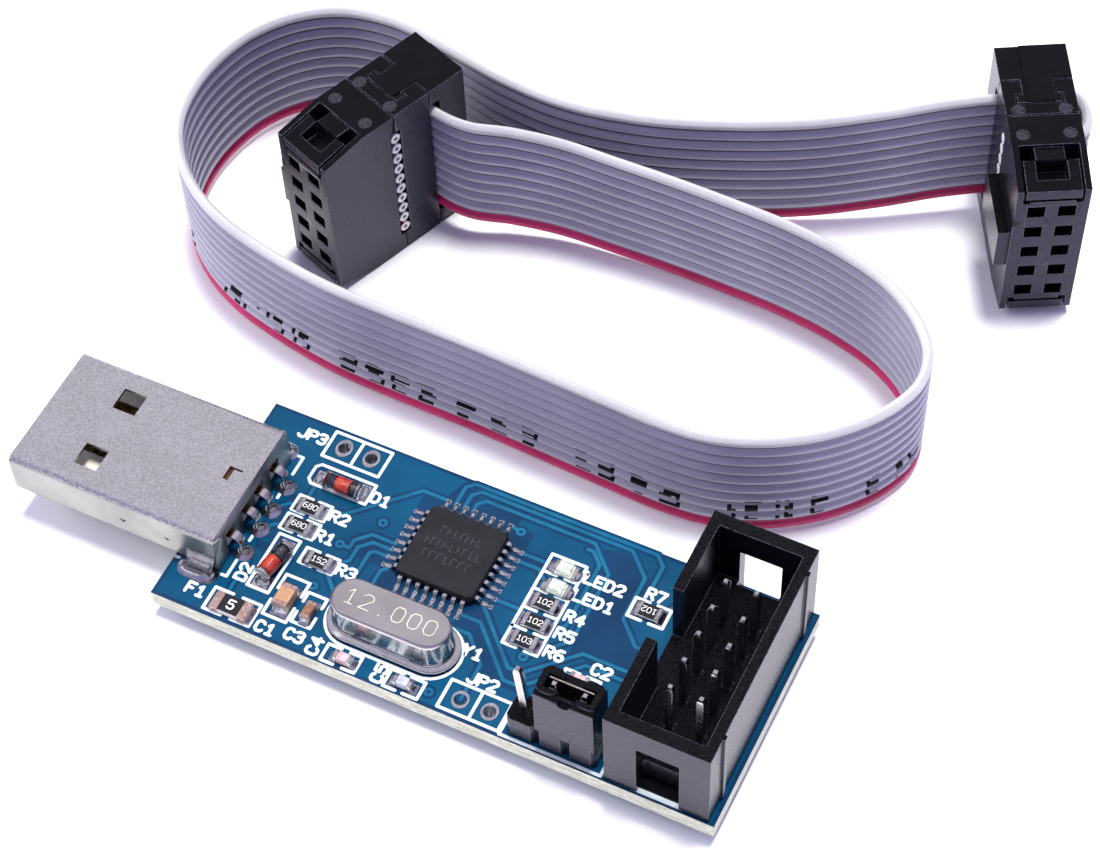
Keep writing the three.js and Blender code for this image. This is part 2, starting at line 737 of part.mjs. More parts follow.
// The ribbon's run through one socket, from its cut end to where it leaves under the strain relief.
function socketRun({ x, y, angle, exitSide }) {
  const channel = (coverEnd + reliefBar) / 2;
  const foldMiddle = (socketSeam + channel) / 2;
  const local = [[socketSeam, exitSide * (socketHalf - 0.05)], [socketSeam, 0]];
  for (let step = 0; step <= 6; step += 1) {
    const turn = step * Math.PI / 6;
    local.push([
      foldMiddle - (channel - foldMiddle) * Math.cos(turn),
      -exitSide * (socketHalf + 0.1 + 1.15 * Math.sin(turn)),
    ]);
  }
  local.push([channel, 0], [channel, exitSide * (socketHalf + 0.3)]);
  const turn = THREE.MathUtils.degToRad(angle);
  return local.map(([u, v]) => new THREE.Vector3(
    x + u * Math.cos(turn) - v * Math.sin(turn),
    y + u * Math.sin(turn) + v * Math.cos(turn),
    ribbonHeld,
  ));
}

// Spends its steps evenly between its points, so the tight folds get as many as the long stretches.
class RibbonRoute extends THREE.CatmullRomCurve3 {
  getPointAt(u, target) {
    return this.getPoint(u, target);
  }

  getTangentAt(u, target) {
    return this.getTangent(u, target);
  }
}

function ribbonCable() {
  const route = [
    ...socketRun(sockets.a),
    ...ribbonLay.map((point) => new THREE.Vector3(...point)),
    ...socketRun(sockets.b).reverse(),
  ];
  const [w, t] = [ribbonWidth / 2, ribbonThickness / 2];
  const edge = [[w, t - 0.25], [w - 0.25, t], [-w + 0.25, t], [-w, t - 0.25]];
  const section = [...edge, ...edge.map(([x, y]) => [-x, -y])];
  return new THREE.ExtrudeGeometry(new THREE.Shape(section.map((p) => new THREE.Vector2(...p))), {
    steps: route.length - 1,
    extrudePath: new RibbonRoute(route, false, 'centripetal'),
  });
}

add('ribbon_cable', ribbonCable(), greyVinyl, cable);

export default programmer;
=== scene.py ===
# Looks for a USB microcontroller programmer and its ten-way ribbon cable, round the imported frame.
# Shapes are written in millimetres in the part's own frame (+Z up, the USB plug towards -X) and
# become metres when a piece is made.
import math
import random

import bmesh
import bpy
from mathutils import Matrix, Vector


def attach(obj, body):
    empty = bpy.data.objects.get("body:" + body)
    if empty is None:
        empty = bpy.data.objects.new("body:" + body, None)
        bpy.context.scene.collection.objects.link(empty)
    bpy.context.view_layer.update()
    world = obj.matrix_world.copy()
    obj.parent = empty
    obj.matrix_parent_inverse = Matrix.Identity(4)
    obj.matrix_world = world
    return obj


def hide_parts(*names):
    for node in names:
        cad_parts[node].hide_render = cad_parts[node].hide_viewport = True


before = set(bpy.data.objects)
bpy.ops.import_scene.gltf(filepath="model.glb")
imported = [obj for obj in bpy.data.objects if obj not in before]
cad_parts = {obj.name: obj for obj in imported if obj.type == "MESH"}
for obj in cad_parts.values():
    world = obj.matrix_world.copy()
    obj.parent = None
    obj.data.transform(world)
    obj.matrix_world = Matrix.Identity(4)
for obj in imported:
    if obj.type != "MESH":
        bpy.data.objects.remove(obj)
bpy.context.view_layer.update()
MM = 0.001
PITCH = 2.54                # pins of the headers and mouths of the sockets
WIRE_PITCH = 1.27           # conductors of the ribbon
random.seed(7)


# ---- camera ----

def place_camera():
    """The camera as fitted to the pins of the box header in the photograph."""
    camera = bpy.data.objects.new("camera", bpy.data.cameras.new("camera"))
    bpy.context.collection.objects.link(camera)
    right = Vector((0.89810, 0.43873, -0.03054))
    up = Vector((-0.34128, 0.73904, 0.58082))
    back = Vector((0.27740, -0.51121, 0.81346))
    turn = Matrix((right, up, back)).transposed().to_4x4()
    camera.matrix_world = Matrix.Translation((0.06751, -0.09789, 0.18670)) @ turn
    camera.data.sensor_width = 36
    camera.data.lens = 89.348
    camera.data.clip_start = 0.01
    bpy.context.scene.camera = camera


place_camera()


# ---- looks ----

def linear(code):
    """A colour written as six hex digits, in linear light."""
    parts = [int(code[i:i + 2], 16) / 255 for i in (0, 2, 4)]
    return [p / 12.92 if p <= 0.04045 else ((p + 0.055) / 1.055) ** 2.4 for p in parts] + [1]


def ramp_between(tree, low, high, first, last):
    """A colour ramp that holds its first colour up to low and its last one from high."""
    ramp = tree.nodes.new("ShaderNodeValToRGB")
    for stop, position, color in zip(ramp.color_ramp.elements, (low, high), (first, last)):
        stop.position = position
        stop.color = color
    return ramp


def look(name, dark, light, smooth, rough, patch, grain, bump=0.0, mottle=0.35, metallic=0.0,
         stretch=(1, 1, 1), **sockets):
    """A material whose colour drifts between two tones over patches and over a fine grain, and
    whose roughness and relief follow the grain. Sizes are in millimetres."""
    material = bpy.data.materials.new(name)
    material.use_nodes = True
    tree = material.node_tree
    shader = tree.nodes["Principled BSDF"]
    place = tree.nodes.new("ShaderNodeTexCoord")
    turn = tree.nodes.new("ShaderNodeMapping")
    turn.inputs["Scale"].default_value = stretch
    tree.links.new(place.outputs["Object"], turn.inputs["Vector"])

    def noise(size, detail):
        node = tree.nodes.new("ShaderNodeTexNoise")
        node.inputs["Scale"].default_value = 1 / (size * MM)
        node.inputs["Detail"].default_value = detail
        tree.links.new(turn.outputs["Vector"], node.inputs["Vector"])
        return node.outputs["Fac"]

    broad, fine = noise(patch, 2), noise(grain, 3)
    blend = tree.nodes.new("ShaderNodeMix")
    blend.inputs["Factor"].default_value = mottle
    tree.links.new(broad, blend.inputs["A"])
    tree.links.new(fine, blend.inputs["B"])
    ramp = ramp_between(tree, 0.38, 0.62, linear(dark), linear(light))
    tree.links.new(blend.outputs["Result"], ramp.inputs["Fac"])
    tree.links.new(ramp.outputs["Color"], shader.inputs["Base Color"])
    spread = tree.nodes.new("ShaderNodeMapRange")
    for end, value in (("From Min", 0.35), ("From Max", 0.65), ("To Min", smooth),
                       ("To Max", rough)):
        spread.inputs[end].default_value = value
    tree.links.new(fine, spread.inputs["Value"])
    tree.links.new(spread.outputs["Result"], shader.inputs["Roughness"])
    if bump:
        relief = tree.nodes.new("ShaderNodeBump")
        relief.inputs["Distance"].default_value = bump * MM
        tree.links.new(fine, relief.inputs["Height"])
        tree.links.new(relief.outputs["Normal"], shader.inputs["Normal"])
    shader.inputs["Metallic"].default_value = metallic
    for socket, value in sockets.items():
        shader.inputs[socket.replace("_", " ")].default_value = value
    return material


def looks(text, **shared):
    """A look for each row of text."""
    rows = [row.split() for row in text.strip().split("\n")]
    return [look(*row[:3], *map(float, row[3:]), **shared) for row in rows]


# Each row: name, two tones, roughness from and to, patch and grain in millimetres, then relief in
# millimetres and the grain's share in the colour where they aren't the usual ones.
# The nickel for the plug's sides is a darker copy of the shell's top nickel: painted shade.
(NICKEL, NICKEL_BRIGHT, NICKEL_SIDE_SHADED, NICKEL_CAN, LEG_METAL_REFLECTION, SOLDER, TIN, BRASS, BRONZE) = looks("""
satin_nickel b9b6b2 d8d5d1 0.24 0.36 3 0.17 0.075 0.85
bright_nickel aeadab c2c1be 0.16 0.24 1.5 0.16 0.002
nickel_side 8f908c a3a49f 0.3 0.38 4 0.12 0.002 0.2
crystal_top b9b4ae c8c3bd 0.28 0.36 3 0.1 0.004 0.3
leg_metal 59585c 88878a 0.16 0.26 1 0.14 0.004 0.3
solder a9a8a8 d3d1cf 0.16 0.28 0.6 0.45 0.006 0.4
tinned_metal aeaaa8 d0ccc9 0.16 0.26 0.8 0.1 0.003
clip_metal b8a890 ddd3c4 0.16 0.26 0.6 0.1 0.003
contact_bronze 5e3f26 a0764c 0.24 0.36 0.5 0.1 0.004
""", metallic=1)
(LEGEND, PLASTIC_WORN, FIGURES, WHITE_PLASTIC, MARKING, CERAMIC_WHITE, RESISTOR, CODE,
 TAN, BROWN, PINK, GREY, RED_CORE, LED_BASE, VINYL, VINYL_TOPLIT, VINYL_RED, VINYL_SHADE_DARK,
 FLOOR) = looks("""
legend_ink bcc6ca d9e0e2 0.5 0.65 0.8 0.06 0.01
moulded_black_scuffed 050507 303038 0.45 0.65 0.4 0.24 0.02 0.75
pale_figures b8af98 dad1ba 0.4 0.55 0.4 0.06
insulator_white cfc8bc e8e3da 0.4 0.5 2 0.2 0.004
faint_marking 303033 444448 0.6 0.7 0.3 0.05
alumina cfcfc8 e6e6df 0.5 0.65 0.4 0.06
resistor_coat 0e0d0e 191719 0.24 0.36 0.4 0.08 0.004
code_ink d5d5d0 f0f0ec 0.5 0.6 0.3 0.05
ceramic_tan 967353 b08a66 0.38 0.52 0.5 0.09 0.01
ceramic_brown 6c4935 8c6449 0.38 0.52 0.4 0.08 0.01
ceramic_pink a8858d cfb0b4 0.38 0.52 0.4 0.08 0.01
ceramic_grey 959aa8 b9bcc8 0.38 0.52 0.4 0.08 0.01
diode_red c72708 f0512a 0.3 0.45 0.6 0.15 0.01
led_base c9d3bd f1f3e6 0.4 0.6 0.3 0.1 0.02
ribbon_grey 928fa0 a19eae 0.32 0.44 9 0.25 0.006 0.3
ribbon_edge_grey adacae bdbcbe 0.36 0.5 9 0.25 0.006
ribbon_crimson a00c48 bd1e60 0.34 0.46 6 0.25 0.006
ribbon_groove 4a454f 58535c 0.5 0.6 6 0.2
studio_floor f0f0f0 f6f6f6 0.7 0.8 80 4
""")
MASK = look("mask_over_copper", "053b57", "064462", 0.16, 0.24, 7, 0.1, 0.002, 0.15,
            Specular_IOR_Level=0.2)
MASK_BARE = look("mask_over_laminate", "0a2c48", "0c3555", 0.16, 0.24, 4, 0.1, 0.002, 0.2,
                 Specular_IOR_Level=0.2)
MASK_TRACE = look("mask_over_trace", "0a4e6b", "0f5d7a", 0.16, 0.24, 2, 0.1, 0.002, 0.3,
                  Specular_IOR_Level=0.3)
LAMINATE = look("laminate_edge", "a9ab93", "e6e5d3", 0.6, 0.85, 0.5, 0.07, 0.05, 0.6,
                stretch=(0.25, 0.25, 1.6))
PLASTIC = look("moulded_black", "0c0b12", "14131b", 0.24, 0.36, 2.5, 0.11, 0.004, 0.4,
               Specular_IOR_Level=0.4, Specular_Tint=(0.62, 0.6, 1, 1))
# A darker, less glossy copy of moulded_black for faces that look up: painted shade on the tops.
PLASTIC_TOP_SHADED = look("moulded_black_top_painted_shade", "050507", "0b0a0e", 0.24, 0.36, 2.5, 0.11, 0.006, 0.4,
                   Specular_IOR_Level=0.1)
# Rough speckled black, darker than moulded_black, for the up-facing faces of the box header and the
# jumper: real rough texture, with painted shade in its darker tone.
PLASTIC_ROUGH_SHADED = look("moulded_black_rough_painted_shade", "010102", "101013", 0.14, 0.45, 0.5, 0.2, 0.15, 0.85,
                     Specular_IOR_Level=0.14)
# A lighter, glossier black for the eased edges: painted highlight along them.
PLASTIC_EDGE_HIGHLIGHT = look("moulded_black_painted_edge_highlight", "09090c", "4c4b57", 0.2, 0.4, 0.35, 0.16, 0.02, 0.8,
                    Specular_IOR_Level=0.5)
EPOXY = look("chip_epoxy", "19191b", "222225", 0.42, 0.55, 1.5, 0.07, 0.008, 0.6,
             Specular_IOR_Level=0.3)
COPPER_TONED = look("coppery_end", "b2897a", "dcc2b5", 0.22, 0.4, 0.35, 0.12, 0.03, metallic=0.85)
GLASS = look("diode_glass", "dfe6e0", "f2f5f2", 0.02, 0.05, 1, 0.3, Transmission_Weight=1.0,
             IOR=1.5)
SLUG = look("diode_slug", "2c2a30", "55525a", 0.25, 0.45, 0.4, 0.1, metallic=0.7)
LENS = look("led_lens", "e6f2e4", "ffffff", 0.05, 0.12, 0.4, 0.15, 0.02, Transmission_Weight=0.75,
            IOR=1.45)
PRINT = look("ribbon_print", "030304", "0b0b0d", 0.6, 0.7, 0.6, 0.08, Specular_IOR_Level=0.15)


# ---- shapes ----

def settle(mesh, name, slot, replaces=(), bevel=0.0, angle=32, flat=False, body="programmer"):
    """Turns a mesh in metres into a shown piece on a CAD body. Where its last material is the
    lighter edge black, its eased edges take that: a painted highlight along them."""
    shape = bmesh.new()
    shape.from_mesh(mesh)
    bmesh.ops.recalc_face_normals(shape, faces=shape.faces)
    shape.to_mesh(mesh)
    shape.free()
    mesh.shade_smooth()
    mesh.set_sharp_from_angle(angle=math.radians(angle))
    piece = bpy.data.objects.new(name, mesh)
    bpy.context.collection.objects.link(piece)
    if bevel:
        ease = piece.modifiers.new("eased_edges", "BEVEL")
        ease.width = bevel * MM
        ease.segments = 2
        ease.limit_method = "ANGLE"
        ease.angle_limit = math.radians(angle)
        ease.use_clamp_overlap = False
        ease.miter_outer = "MITER_ARC"
        if PLASTIC_EDGE_HIGHLIGHT.name in mesh.materials:
            ease.material = len(mesh.materials) - 1
    if flat:
        even = piece.modifiers.new("flat_faces", "WEIGHTED_NORMAL")
        even.keep_sharp = not bevel
    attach(piece, body)
    if replaces:
        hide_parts(*replaces)
    return piece


MERGE_GAP = 0.003           # CAD corners this close are one corner
FLAT_WITHIN = 0.5           # degrees between CAD facets of one flat face


def recut(name, slot, material, nodes, bevel, marks=None, **settings):
    """A cleaned copy of CAD nodes with eased edges, which stands for them. marks gives a face's
    material from its middle, in millimetres, and normal. Without it they all take the first."""
    shape = bmesh.new()
    for node in nodes:
        shape.from_mesh(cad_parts[node].data)
    bmesh.ops.remove_doubles(shape, verts=shape.verts, dist=MERGE_GAP * MM)
    bmesh.ops.dissolve_limit(shape, angle_limit=math.radians(FLAT_WITHIN), verts=shape.verts,
                             edges=shape.edges)
    bmesh.ops.triangulate(shape, faces=shape.faces)
    mesh = bpy.data.meshes.new(name)
    materials = list(material) if isinstance(material, (list, tuple)) else [material]
    for face in shape.faces:
        face.material_index = marks(face.calc_center_median() / MM, face.normal) if marks else 0
    shape.to_mesh(mesh)
    shape.free()
    for item in materials:
        mesh.materials.append(item)
    return settle(mesh, name, slot, nodes, bevel, flat=True, **settings)


def table(text):
    """Rows of points, or of tuples of any other length, written as numbers with commas."""
    return [[tuple(map(float, point.split(","))) for point in row.split()]
            for row in text.split("\n") if row]


def row_of(text):
    """The same where the rows are one list."""
    return sum(table(text), [])


def arc(x, y, radius, start, end, count):
    """Points along an arc, with its angles in degrees."""
    turns = [math.radians(start + (end - start) * i / count) for i in range(count + 1)]
    return [(x + radius * math.cos(t), y + radius * math.sin(t)) for t in turns]


def stadium(x, y, half_length, half_width, count=12):
    """A slot-shaped outline that lies along X."""
    reach = half_length - half_width
    return (arc(x + reach, y, half_width, -90, 90, count)
            + arc(x - reach, y, half_width, 90, 270, count))


def rectangle(x0, y0, x1, y1):
    return [(x0, y0), (x1, y0), (x1, y1), (x0, y1)]


def spot(x, y, z, degrees=0):
    """A place in the frame, turned about Z."""
    return Matrix.Translation((x, y, z)) @ Matrix.Rotation(math.radians(degrees), 4, "Z")


HAIR = 0.0006               # between the tops of two stretches of a stroke
HAIRS = 9                   # steps before the tops start again from the lowest


class Shape:
    """Closed solids in millimetres, gathered into one mesh. Each solid has its own material."""

    def __init__(self, place=None):
        self.points, self.faces, self.marks, self.materials = [], [], [], []
        self.place = place or Matrix()
        self.strokes = 0

    def solid(self, points, faces, material):
        if material not in self.materials:
            self.materials.append(material)
        first = len(self.points)
        self.points += [self.place @ Vector(point) for point in points]
        self.faces += [[first + i for i in face] for face in faces]
        self.marks += [self.materials.index(material)] * len(faces)

    def loft(self, rings, material, closed=False):
        """A skin over rings of equal length, capped at both ends or joined end to end."""
        count = len(rings[0])
        spans = len(rings) if closed else len(rings) - 1
        faces = []
        for k in range(spans):
            here, there = k * count, (k + 1) % len(rings) * count
            for i in range(count):
                j = (i + 1) % count
                faces.append([here + i, here + j, there + j, there + i])
        if not closed:
            last = (len(rings) - 1) * count
            faces += [list(range(count))[::-1], [last + i for i in range(count)]]
        self.solid([point for ring in rings for point in ring], faces, material)

    def prism(self, outline, low, high, material):
        self.loft([[(x, y, z) for x, y in outline] for z in (low, high)], material)

    def box(self, low, high, material):
        self.prism(rectangle(low[0], low[1], high[0], high[1]), low[2], high[2], material)

    def pad(self, x, y, half_x, half_y, low, high, material):
        """A box given by its middle and half its sides."""
        self.box((x - half_x, y - half_y, low), (x + half_x, y + half_y, high), material)

    def stroke(self, line, width, low, high, material):
        """A line of even width with round ends and corners. Each stretch stands a hair above the
        one before it, so that two tops that meet don't share a plane."""
        for (x0, y0), (x1, y1) in zip(line, line[1:]):
            way = math.degrees(math.atan2(y1 - y0, x1 - x0))
            outline = (arc(x1, y1, width / 2, way - 90, way + 90, 6)
                       + arc(x0, y0, width / 2, way + 90, way + 270, 6))
            self.prism(outline, low, high + self.strokes % HAIRS * HAIR, material)
            self.strokes += 1

    def turned(self, profile, material, x=0.0, y=0.0, count=20, hollow=False, axis="Z"):
        """A profile of radius and height turned about an upright line, or about X."""
        rings = []
        for i in range(count):
            turn = 2 * math.pi * i / count
            ring = [(r * math.cos(turn), r * math.sin(turn), z) for r, z in profile]
            if axis == "X":
                ring = [(c, a, b) for a, b, c in ring]
            rings.append([(x + a, y + b, c) for a, b, c in ring])
        if hollow:
            self.loft(rings, material, closed=True)
        else:
            self.loft([list(ring) for ring in zip(*rings)], material)

    def strap(self, line, thickness, across, width, material):
        """A strip bent along a line of X and Z points, with its middle at across in Y."""
        rings = []
        for i, (x, z) in enumerate(line):
            (xa, za), (xb, zb) = line[max(i - 1, 0)], line[min(i + 1, len(line) - 1)]
            run = Vector((xb - xa, zb - za)).normalized() * thickness / 2
            rings.append([(x + run.y * a, across + width / 2 * b, z - run.x * a)
                          for a, b in ((1, -1), (1, 1), (-1, 1), (-1, -1))])
        self.loft(rings, material)

    def blob(self, x, y, z, half_x, half_y, height, material, wobble=0.08):
        """A low uneven dome, as of solder that has flowed and set."""
        rings = []
        for k in range(5):
            lift = k / 4 * math.pi / 2 * 0.96
            ring = []
            for i in range(14):
                turn = 2 * math.pi * i / 14
                reach = math.cos(lift) * (1 + wobble * random.uniform(-1, 1))
                ring.append((x + half_x * reach * math.cos(turn),
                             y + half_y * reach * math.sin(turn), z + height * math.sin(lift)))
            rings.append(ring)
        self.loft(rings, material)

    def piece(self, name, slot, replaces=(), bevel=0.0, **settings):
        mesh = bpy.data.meshes.new(name)
        mesh.from_pydata([point * MM for point in self.points], [], self.faces)
        for material in self.materials:
            mesh.materials.append(material)
        mesh.polygons.foreach_set("material_index", self.marks)
        return settle(mesh, name, slot, replaces, bevel, flat=bevel > 0, **settings)


# Letters and figures on a grid four wide and six high, with a row for each stroke.
GLYPHS = {}
for letter, *points in (row.split() for row in """
0 1,0 0,1.2 0,4.8 1,6 3,6 4,4.8 4,1.2 3,0 1,0
1 0.8,4.8 2.2,6 2.2,0
1 0.8,0 3.6,0
2 0,5 1,6 3,6 4,5 4,4 0,0 4,0
3 0,5.4 1,6 3,6 4,5 4,4 3,3.2 1.6,3.2
3 3,3.2 4,2.4 4,1 3,0 1,0 0,0.7
4 3,0 3,6 0,2 4.2,2
5 4,6 0.2,6 0,3.4 3,3.6 4,2.6 4,1 3,0 1,0 0,0.7
6 3.4,6 1.2,6 0,4.8 0,1.2 1,0 3,0 4,1.2 4,2.3 3,3.4 0,3.4
7 0,6 4,6 1.6,0
8 1,3.2 0,4.2 0,5 1,6 3,6 4,5 4,4.2 3,3.2 1,3.2 0,2.2 0,1 1,0 3,0 4,1 4,2.2 3,3.2
C 4,5 3,6 1,6 0,4.8 0,1.2 1,0 3,0 4,1
D 0,0 0,6 2.6,6 4,4.6 4,1.4 2.6,0 0,0
E 4,6 0,6 0,0 4,0
E 0,3 3,3
F 4,6 0,6 0,0
F 0,3 3,3
J 4,6 4,1.2 3,0 1,0 0,1
L 0,6 0,0 4,0
P 0,0 0,6 3,6 4,5 4,3.9 3,2.9 0,2.9
R 0,0 0,6 3,6 4,5 4,3.9 3,2.9 0,2.9
R 2,2.9 4,0
Y 0,6 2,3 4,6
Y 2,3 2,0
. 1.6,0 2.2,0
""".strip().split("\n")):
    GLYPHS.setdefault(letter, []).append(row_of(" ".join(points)))


def write(shape, text, x, y, unit, width, low, high, material, degrees=0, advance=5.85):
    """Stroke lettering centred on a point."""
    cos, sin = math.cos(math.radians(degrees)), math.sin(math.radians(degrees))
    start = -(advance * (len(text) - 1) + 4) / 2
    for k, letter in enumerate(text):
        for line in GLYPHS[letter]:
            flat = [((start + k * advance + a) * unit, (b - 3) * unit) for a, b in line]
            turned = [(x + a * cos - b * sin, y + a * sin + b * cos) for a, b in flat]
            shape.stroke(turned, width, low, high, material)


# ---- ribbon cable ----

# Along a socket, from its mating face.
SEAM = 7.65                 # between contact body and cover, where the ribbon is cut off
COVER_END = 11.5
RELIEF_BAR = 12.6
SOCKET_HALF = 3.05          # half of a socket's thickness
SOCKET_TOP = 16.98          # just inside a socket's upper face
HELD = 8.5                  # height of the ribbon's middle in a socket
DOWN = 6.55                 # and where it stands on its edge on the floor
RIBBON_STEP = 0.36          # between cross-sections
# Half of a forked contact: how far in, and how far from its middle.
CONTACT = ((1.6, 0.1), (2.1, 0.24), (3.2, 0.16), (6.3, 0.3))
# Each socket's place in X and Y, its turn in degrees and the side its ribbon leaves from.
SOCKETS = {"a": (-21.85, 25.91, 68.6, -1), "b": (36.3, 47.75, 118.3, 1)}
# The ribbon between the sockets. A point with no height of its own is at DOWN.
LAY = row_of("""
-11.6,35.9,8.2 -8,37.1,7.8 -3.8,38.1,7.3 1,38.5,6.9 6,38.7,6.7 11.5,38.7 17,38.4 22,37.6 26.6,36.1
30,33.8 32.2,30.9 32.7,27.9 31.7,24.9 29.6,21.9 26.9,19.4 23.6,17.4 20,16.1 15.8,15.7 10.6,15.9
4.6,16.2 -2,16.5 -8.6,16.6 -15,16.9 -21,17.9 -26.3,19.4 -30.2,21.5 -33.2,24.3 -35.1,27.5 -35.9,31.2
-35.7,35.1 -34.5,39 -32,42.4 -28.6,44.6 -24,45.4 -18.4,44.6 -12.2,43.3 -6,42.9 0.8,44 8,46.4,6.7
14.4,49.1,7.1 20,52.1,7.8 24.3,54.8,8.3
""")


def socket_run(x, y, degrees, side):
    """The ribbon's run through one socket, from its cut end to under the strain relief."""
    channel = (COVER_END + RELIEF_BAR) / 2
    middle = (SEAM + channel) / 2
    local = [(SEAM, side * (SOCKET_HALF - 0.05)), (SEAM, 0)]
    for step in range(7):
        turn = step * math.pi / 6
        local.append((middle - (channel - middle) * math.cos(turn),
                      -side * (SOCKET_HALF + 0.1 + 1.15 * math.sin(turn))))
    local += [(channel, 0), (channel, side * (SOCKET_HALF + 0.3))]
    place = spot(x, y, HELD, degrees)
    return [place @ Vector((u, v, 0)) for u, v in local]


def smooth_line(points):
    """The centripetal curve through points, and how far along it each of its points is."""
    ends = [points[0] * 2 - points[1]] + points + [points[-1] * 2 - points[-2]]
    line = []
    for p0, p1, p2, p3 in zip(ends, ends[1:], ends[2:], ends[3:]):
        d0, d1, d2 = [(b - a).length ** 0.5 for a, b in ((p0, p1), (p1, p2), (p2, p3))]
        m1 = ((p1 - p0) / d0 - (p2 - p0) / (d0 + d1) + (p2 - p1) / d1) * d1
        m2 = ((p2 - p1) / d1 - (p3 - p1) / (d1 + d2) + (p3 - p2) / d2) * d1
        count = max(3, round((p2 - p1).length / RIBBON_STEP))
        for i in range(count):
            t = i / count
            line.append(p1 + m1 * t + (p2 * 3 - p1 * 3 - m1 * 2 - m2) * t ** 2
                        + (p1 * 2 - p2 * 2 + m1 + m2) * t ** 3)
    line.append(points[-1])
    along = [0.0]
    for a, b in zip(line, line[1:]):
        along.append(along[-1] + (b - a).length)
    return line, along


ROUTE = (socket_run(*SOCKETS["a"]) + [Vector((*point, DOWN)[:3]) for point in LAY]
         + socket_run(*SOCKETS["b"])[::-1])
RIBBON_LINE, RIBBON_ALONG = smooth_line(ROUTE)
CONDUCTORS = 10
LOBE = [(-0.53, 0.1), (-0.42, 0.2), (-0.3, 0.335), (-0.15, 0.424), (0.0, 0.45), (0.15, 0.424),
        (0.3, 0.335), (0.42, 0.2), (0.53, 0.1)]
# Where worn ink marks start along the ribbon's outside, and how long each one is.
INK = row_of("""
142,0.8 135.8,0.5 133.6,1.6 131.7,0.5 130.5,0.5 129.2,1.1 127.6,0.5 126.2,1.1 121.2,1.9 118.7,1.7
116.2,1.9 113.6,1.8 110,1.9 107,1.7 104,1.8 99.2,1.4 96.8,1.8 94,1.5 91.2,1.7 86.6,0.5 85.6,0.4
84.6,1 82.9,0.5 81.9,0.9 80.2,0.5 79.2,1.1 74.4,1.3 72.2,0.9 70,1.5
""")
# Conductor and lowest facet of a mark's bars, and conductor and facets of its stems.
INK_BARS = ((1, 5), (2, 1), (2, 4), (2, 6), (3, 1), (3, 3))
INK_STEMS = ((1, 5, 7), (2, 1, 7), (3, 1, 4))


def conductor_offset(k):
    """How far a conductor's middle is from the ribbon's."""
    return (k - (CONDUCTORS - 1) / 2) * WIRE_PITCH


def worn_ink():
    """Broken strokes across three conductors: start, end, conductor and the facets they cover."""
    strokes = []
    for start, length in INK:
        for conductor, low in INK_BARS:
            if random.random() < 0.9:
                near = start + random.uniform(0, 0.35) * length
                far = start + random.uniform(0.8, 1.0) * length
                strokes.append((near, far, conductor, low, low + random.choice((0, 1, 1))))
        for conductor, low, high in INK_STEMS:
            if random.random() < 0.6:
                stem = start + random.choice((0, length - RIBBON_STEP))
                strokes.append((stem, stem + 0.37, conductor, low, high))
    return strokes


def ribbon_cable():
    """The ribbon as one skin of ten lobes, with ink on the lobes of its outside, painted shade in
    the creases between its lobes, and a lighter grey painted as light on its top conductor and its
    two edges.
    """
    across = [(conductor_offset(k) + w, t, k) for k in range(CONDUCTORS) for w, t in LOBE]
    outline = across + [(w, -t, k) for w, t, k in across[::-1]]
    dashes = worn_ink()
    points, count = [], len(outline)
    for i, here in enumerate(RIBBON_LINE):
        after = RIBBON_LINE[min(i + 1, len(RIBBON_LINE) - 1)]
        run = (after - RIBBON_LINE[max(i - 1, 0)]).normalized()
        up = (Vector((0, 0, 1)) - run * run.z).normalized()
        side = run.cross(up)
        points += [here + up * w + side * t for w, t, k in outline]
    looks = [VINYL, VINYL_TOPLIT, VINYL_RED, PRINT, VINYL_SHADE_DARK]
    grey, light, red, ink, crease_shade = range(5)
    faces, marks = [], []
    for i in range(len(RIBBON_LINE) - 1):
        for j in range(count):
            n = (j + 1) % count
            faces.append([i * count + j, i * count + n, (i + 1) * count + n, (i + 1) * count + j])
            conductor = outline[j][2]
            if conductor != outline[n][2] or outline[j][1] * outline[n][1] < 0:
                # Faces in the creases between conductors take a dark vinyl, painted shade; the
                # ribbon's two edges take the lighter grey, painted light.
                mark = crease_shade if 0 < j < count - 1 and abs(outline[j][0]) < 5.8 else light
            else:
                # The top conductor takes a lighter grey than the rest: painted light from above.
                mark = red if conductor == 0 else light if conductor == CONDUCTORS - 1 else grey
            if j >= count // 2:
                facet = (count - 1 - j) % len(LOBE)
                for start, end, dashed, low, high in dashes:
                    if dashed == conductor and low <= facet <= high:
                        if start <= RIBBON_ALONG[i] <= end:
                            mark = ink
            marks.append(mark)
    last = (len(RIBBON_LINE) - 1) * count
    faces += [list(range(count))[::-1], [last + j for j in range(count)]]
    marks += [grey, grey]
    mesh = bpy.data.meshes.new("ribbon_cable_grey")
    mesh.from_pydata([point * MM for point in points], [], faces)
    for item in looks:
        mesh.materials.append(item)
    mesh.polygons.foreach_set("material_index", marks)
    return settle(mesh, "ribbon_conductors", "grey_vinyl", ["ribbon_cable"], angle=60,
                  body="isp_cable")


ribbon = ribbon_cable()


# ---- sockets of the cable ----

def upward(middle, normal):
    """The second material for faces that look up: a darker copy of the first, painted shade."""
    return 1 if normal.z > 0.5 else 0


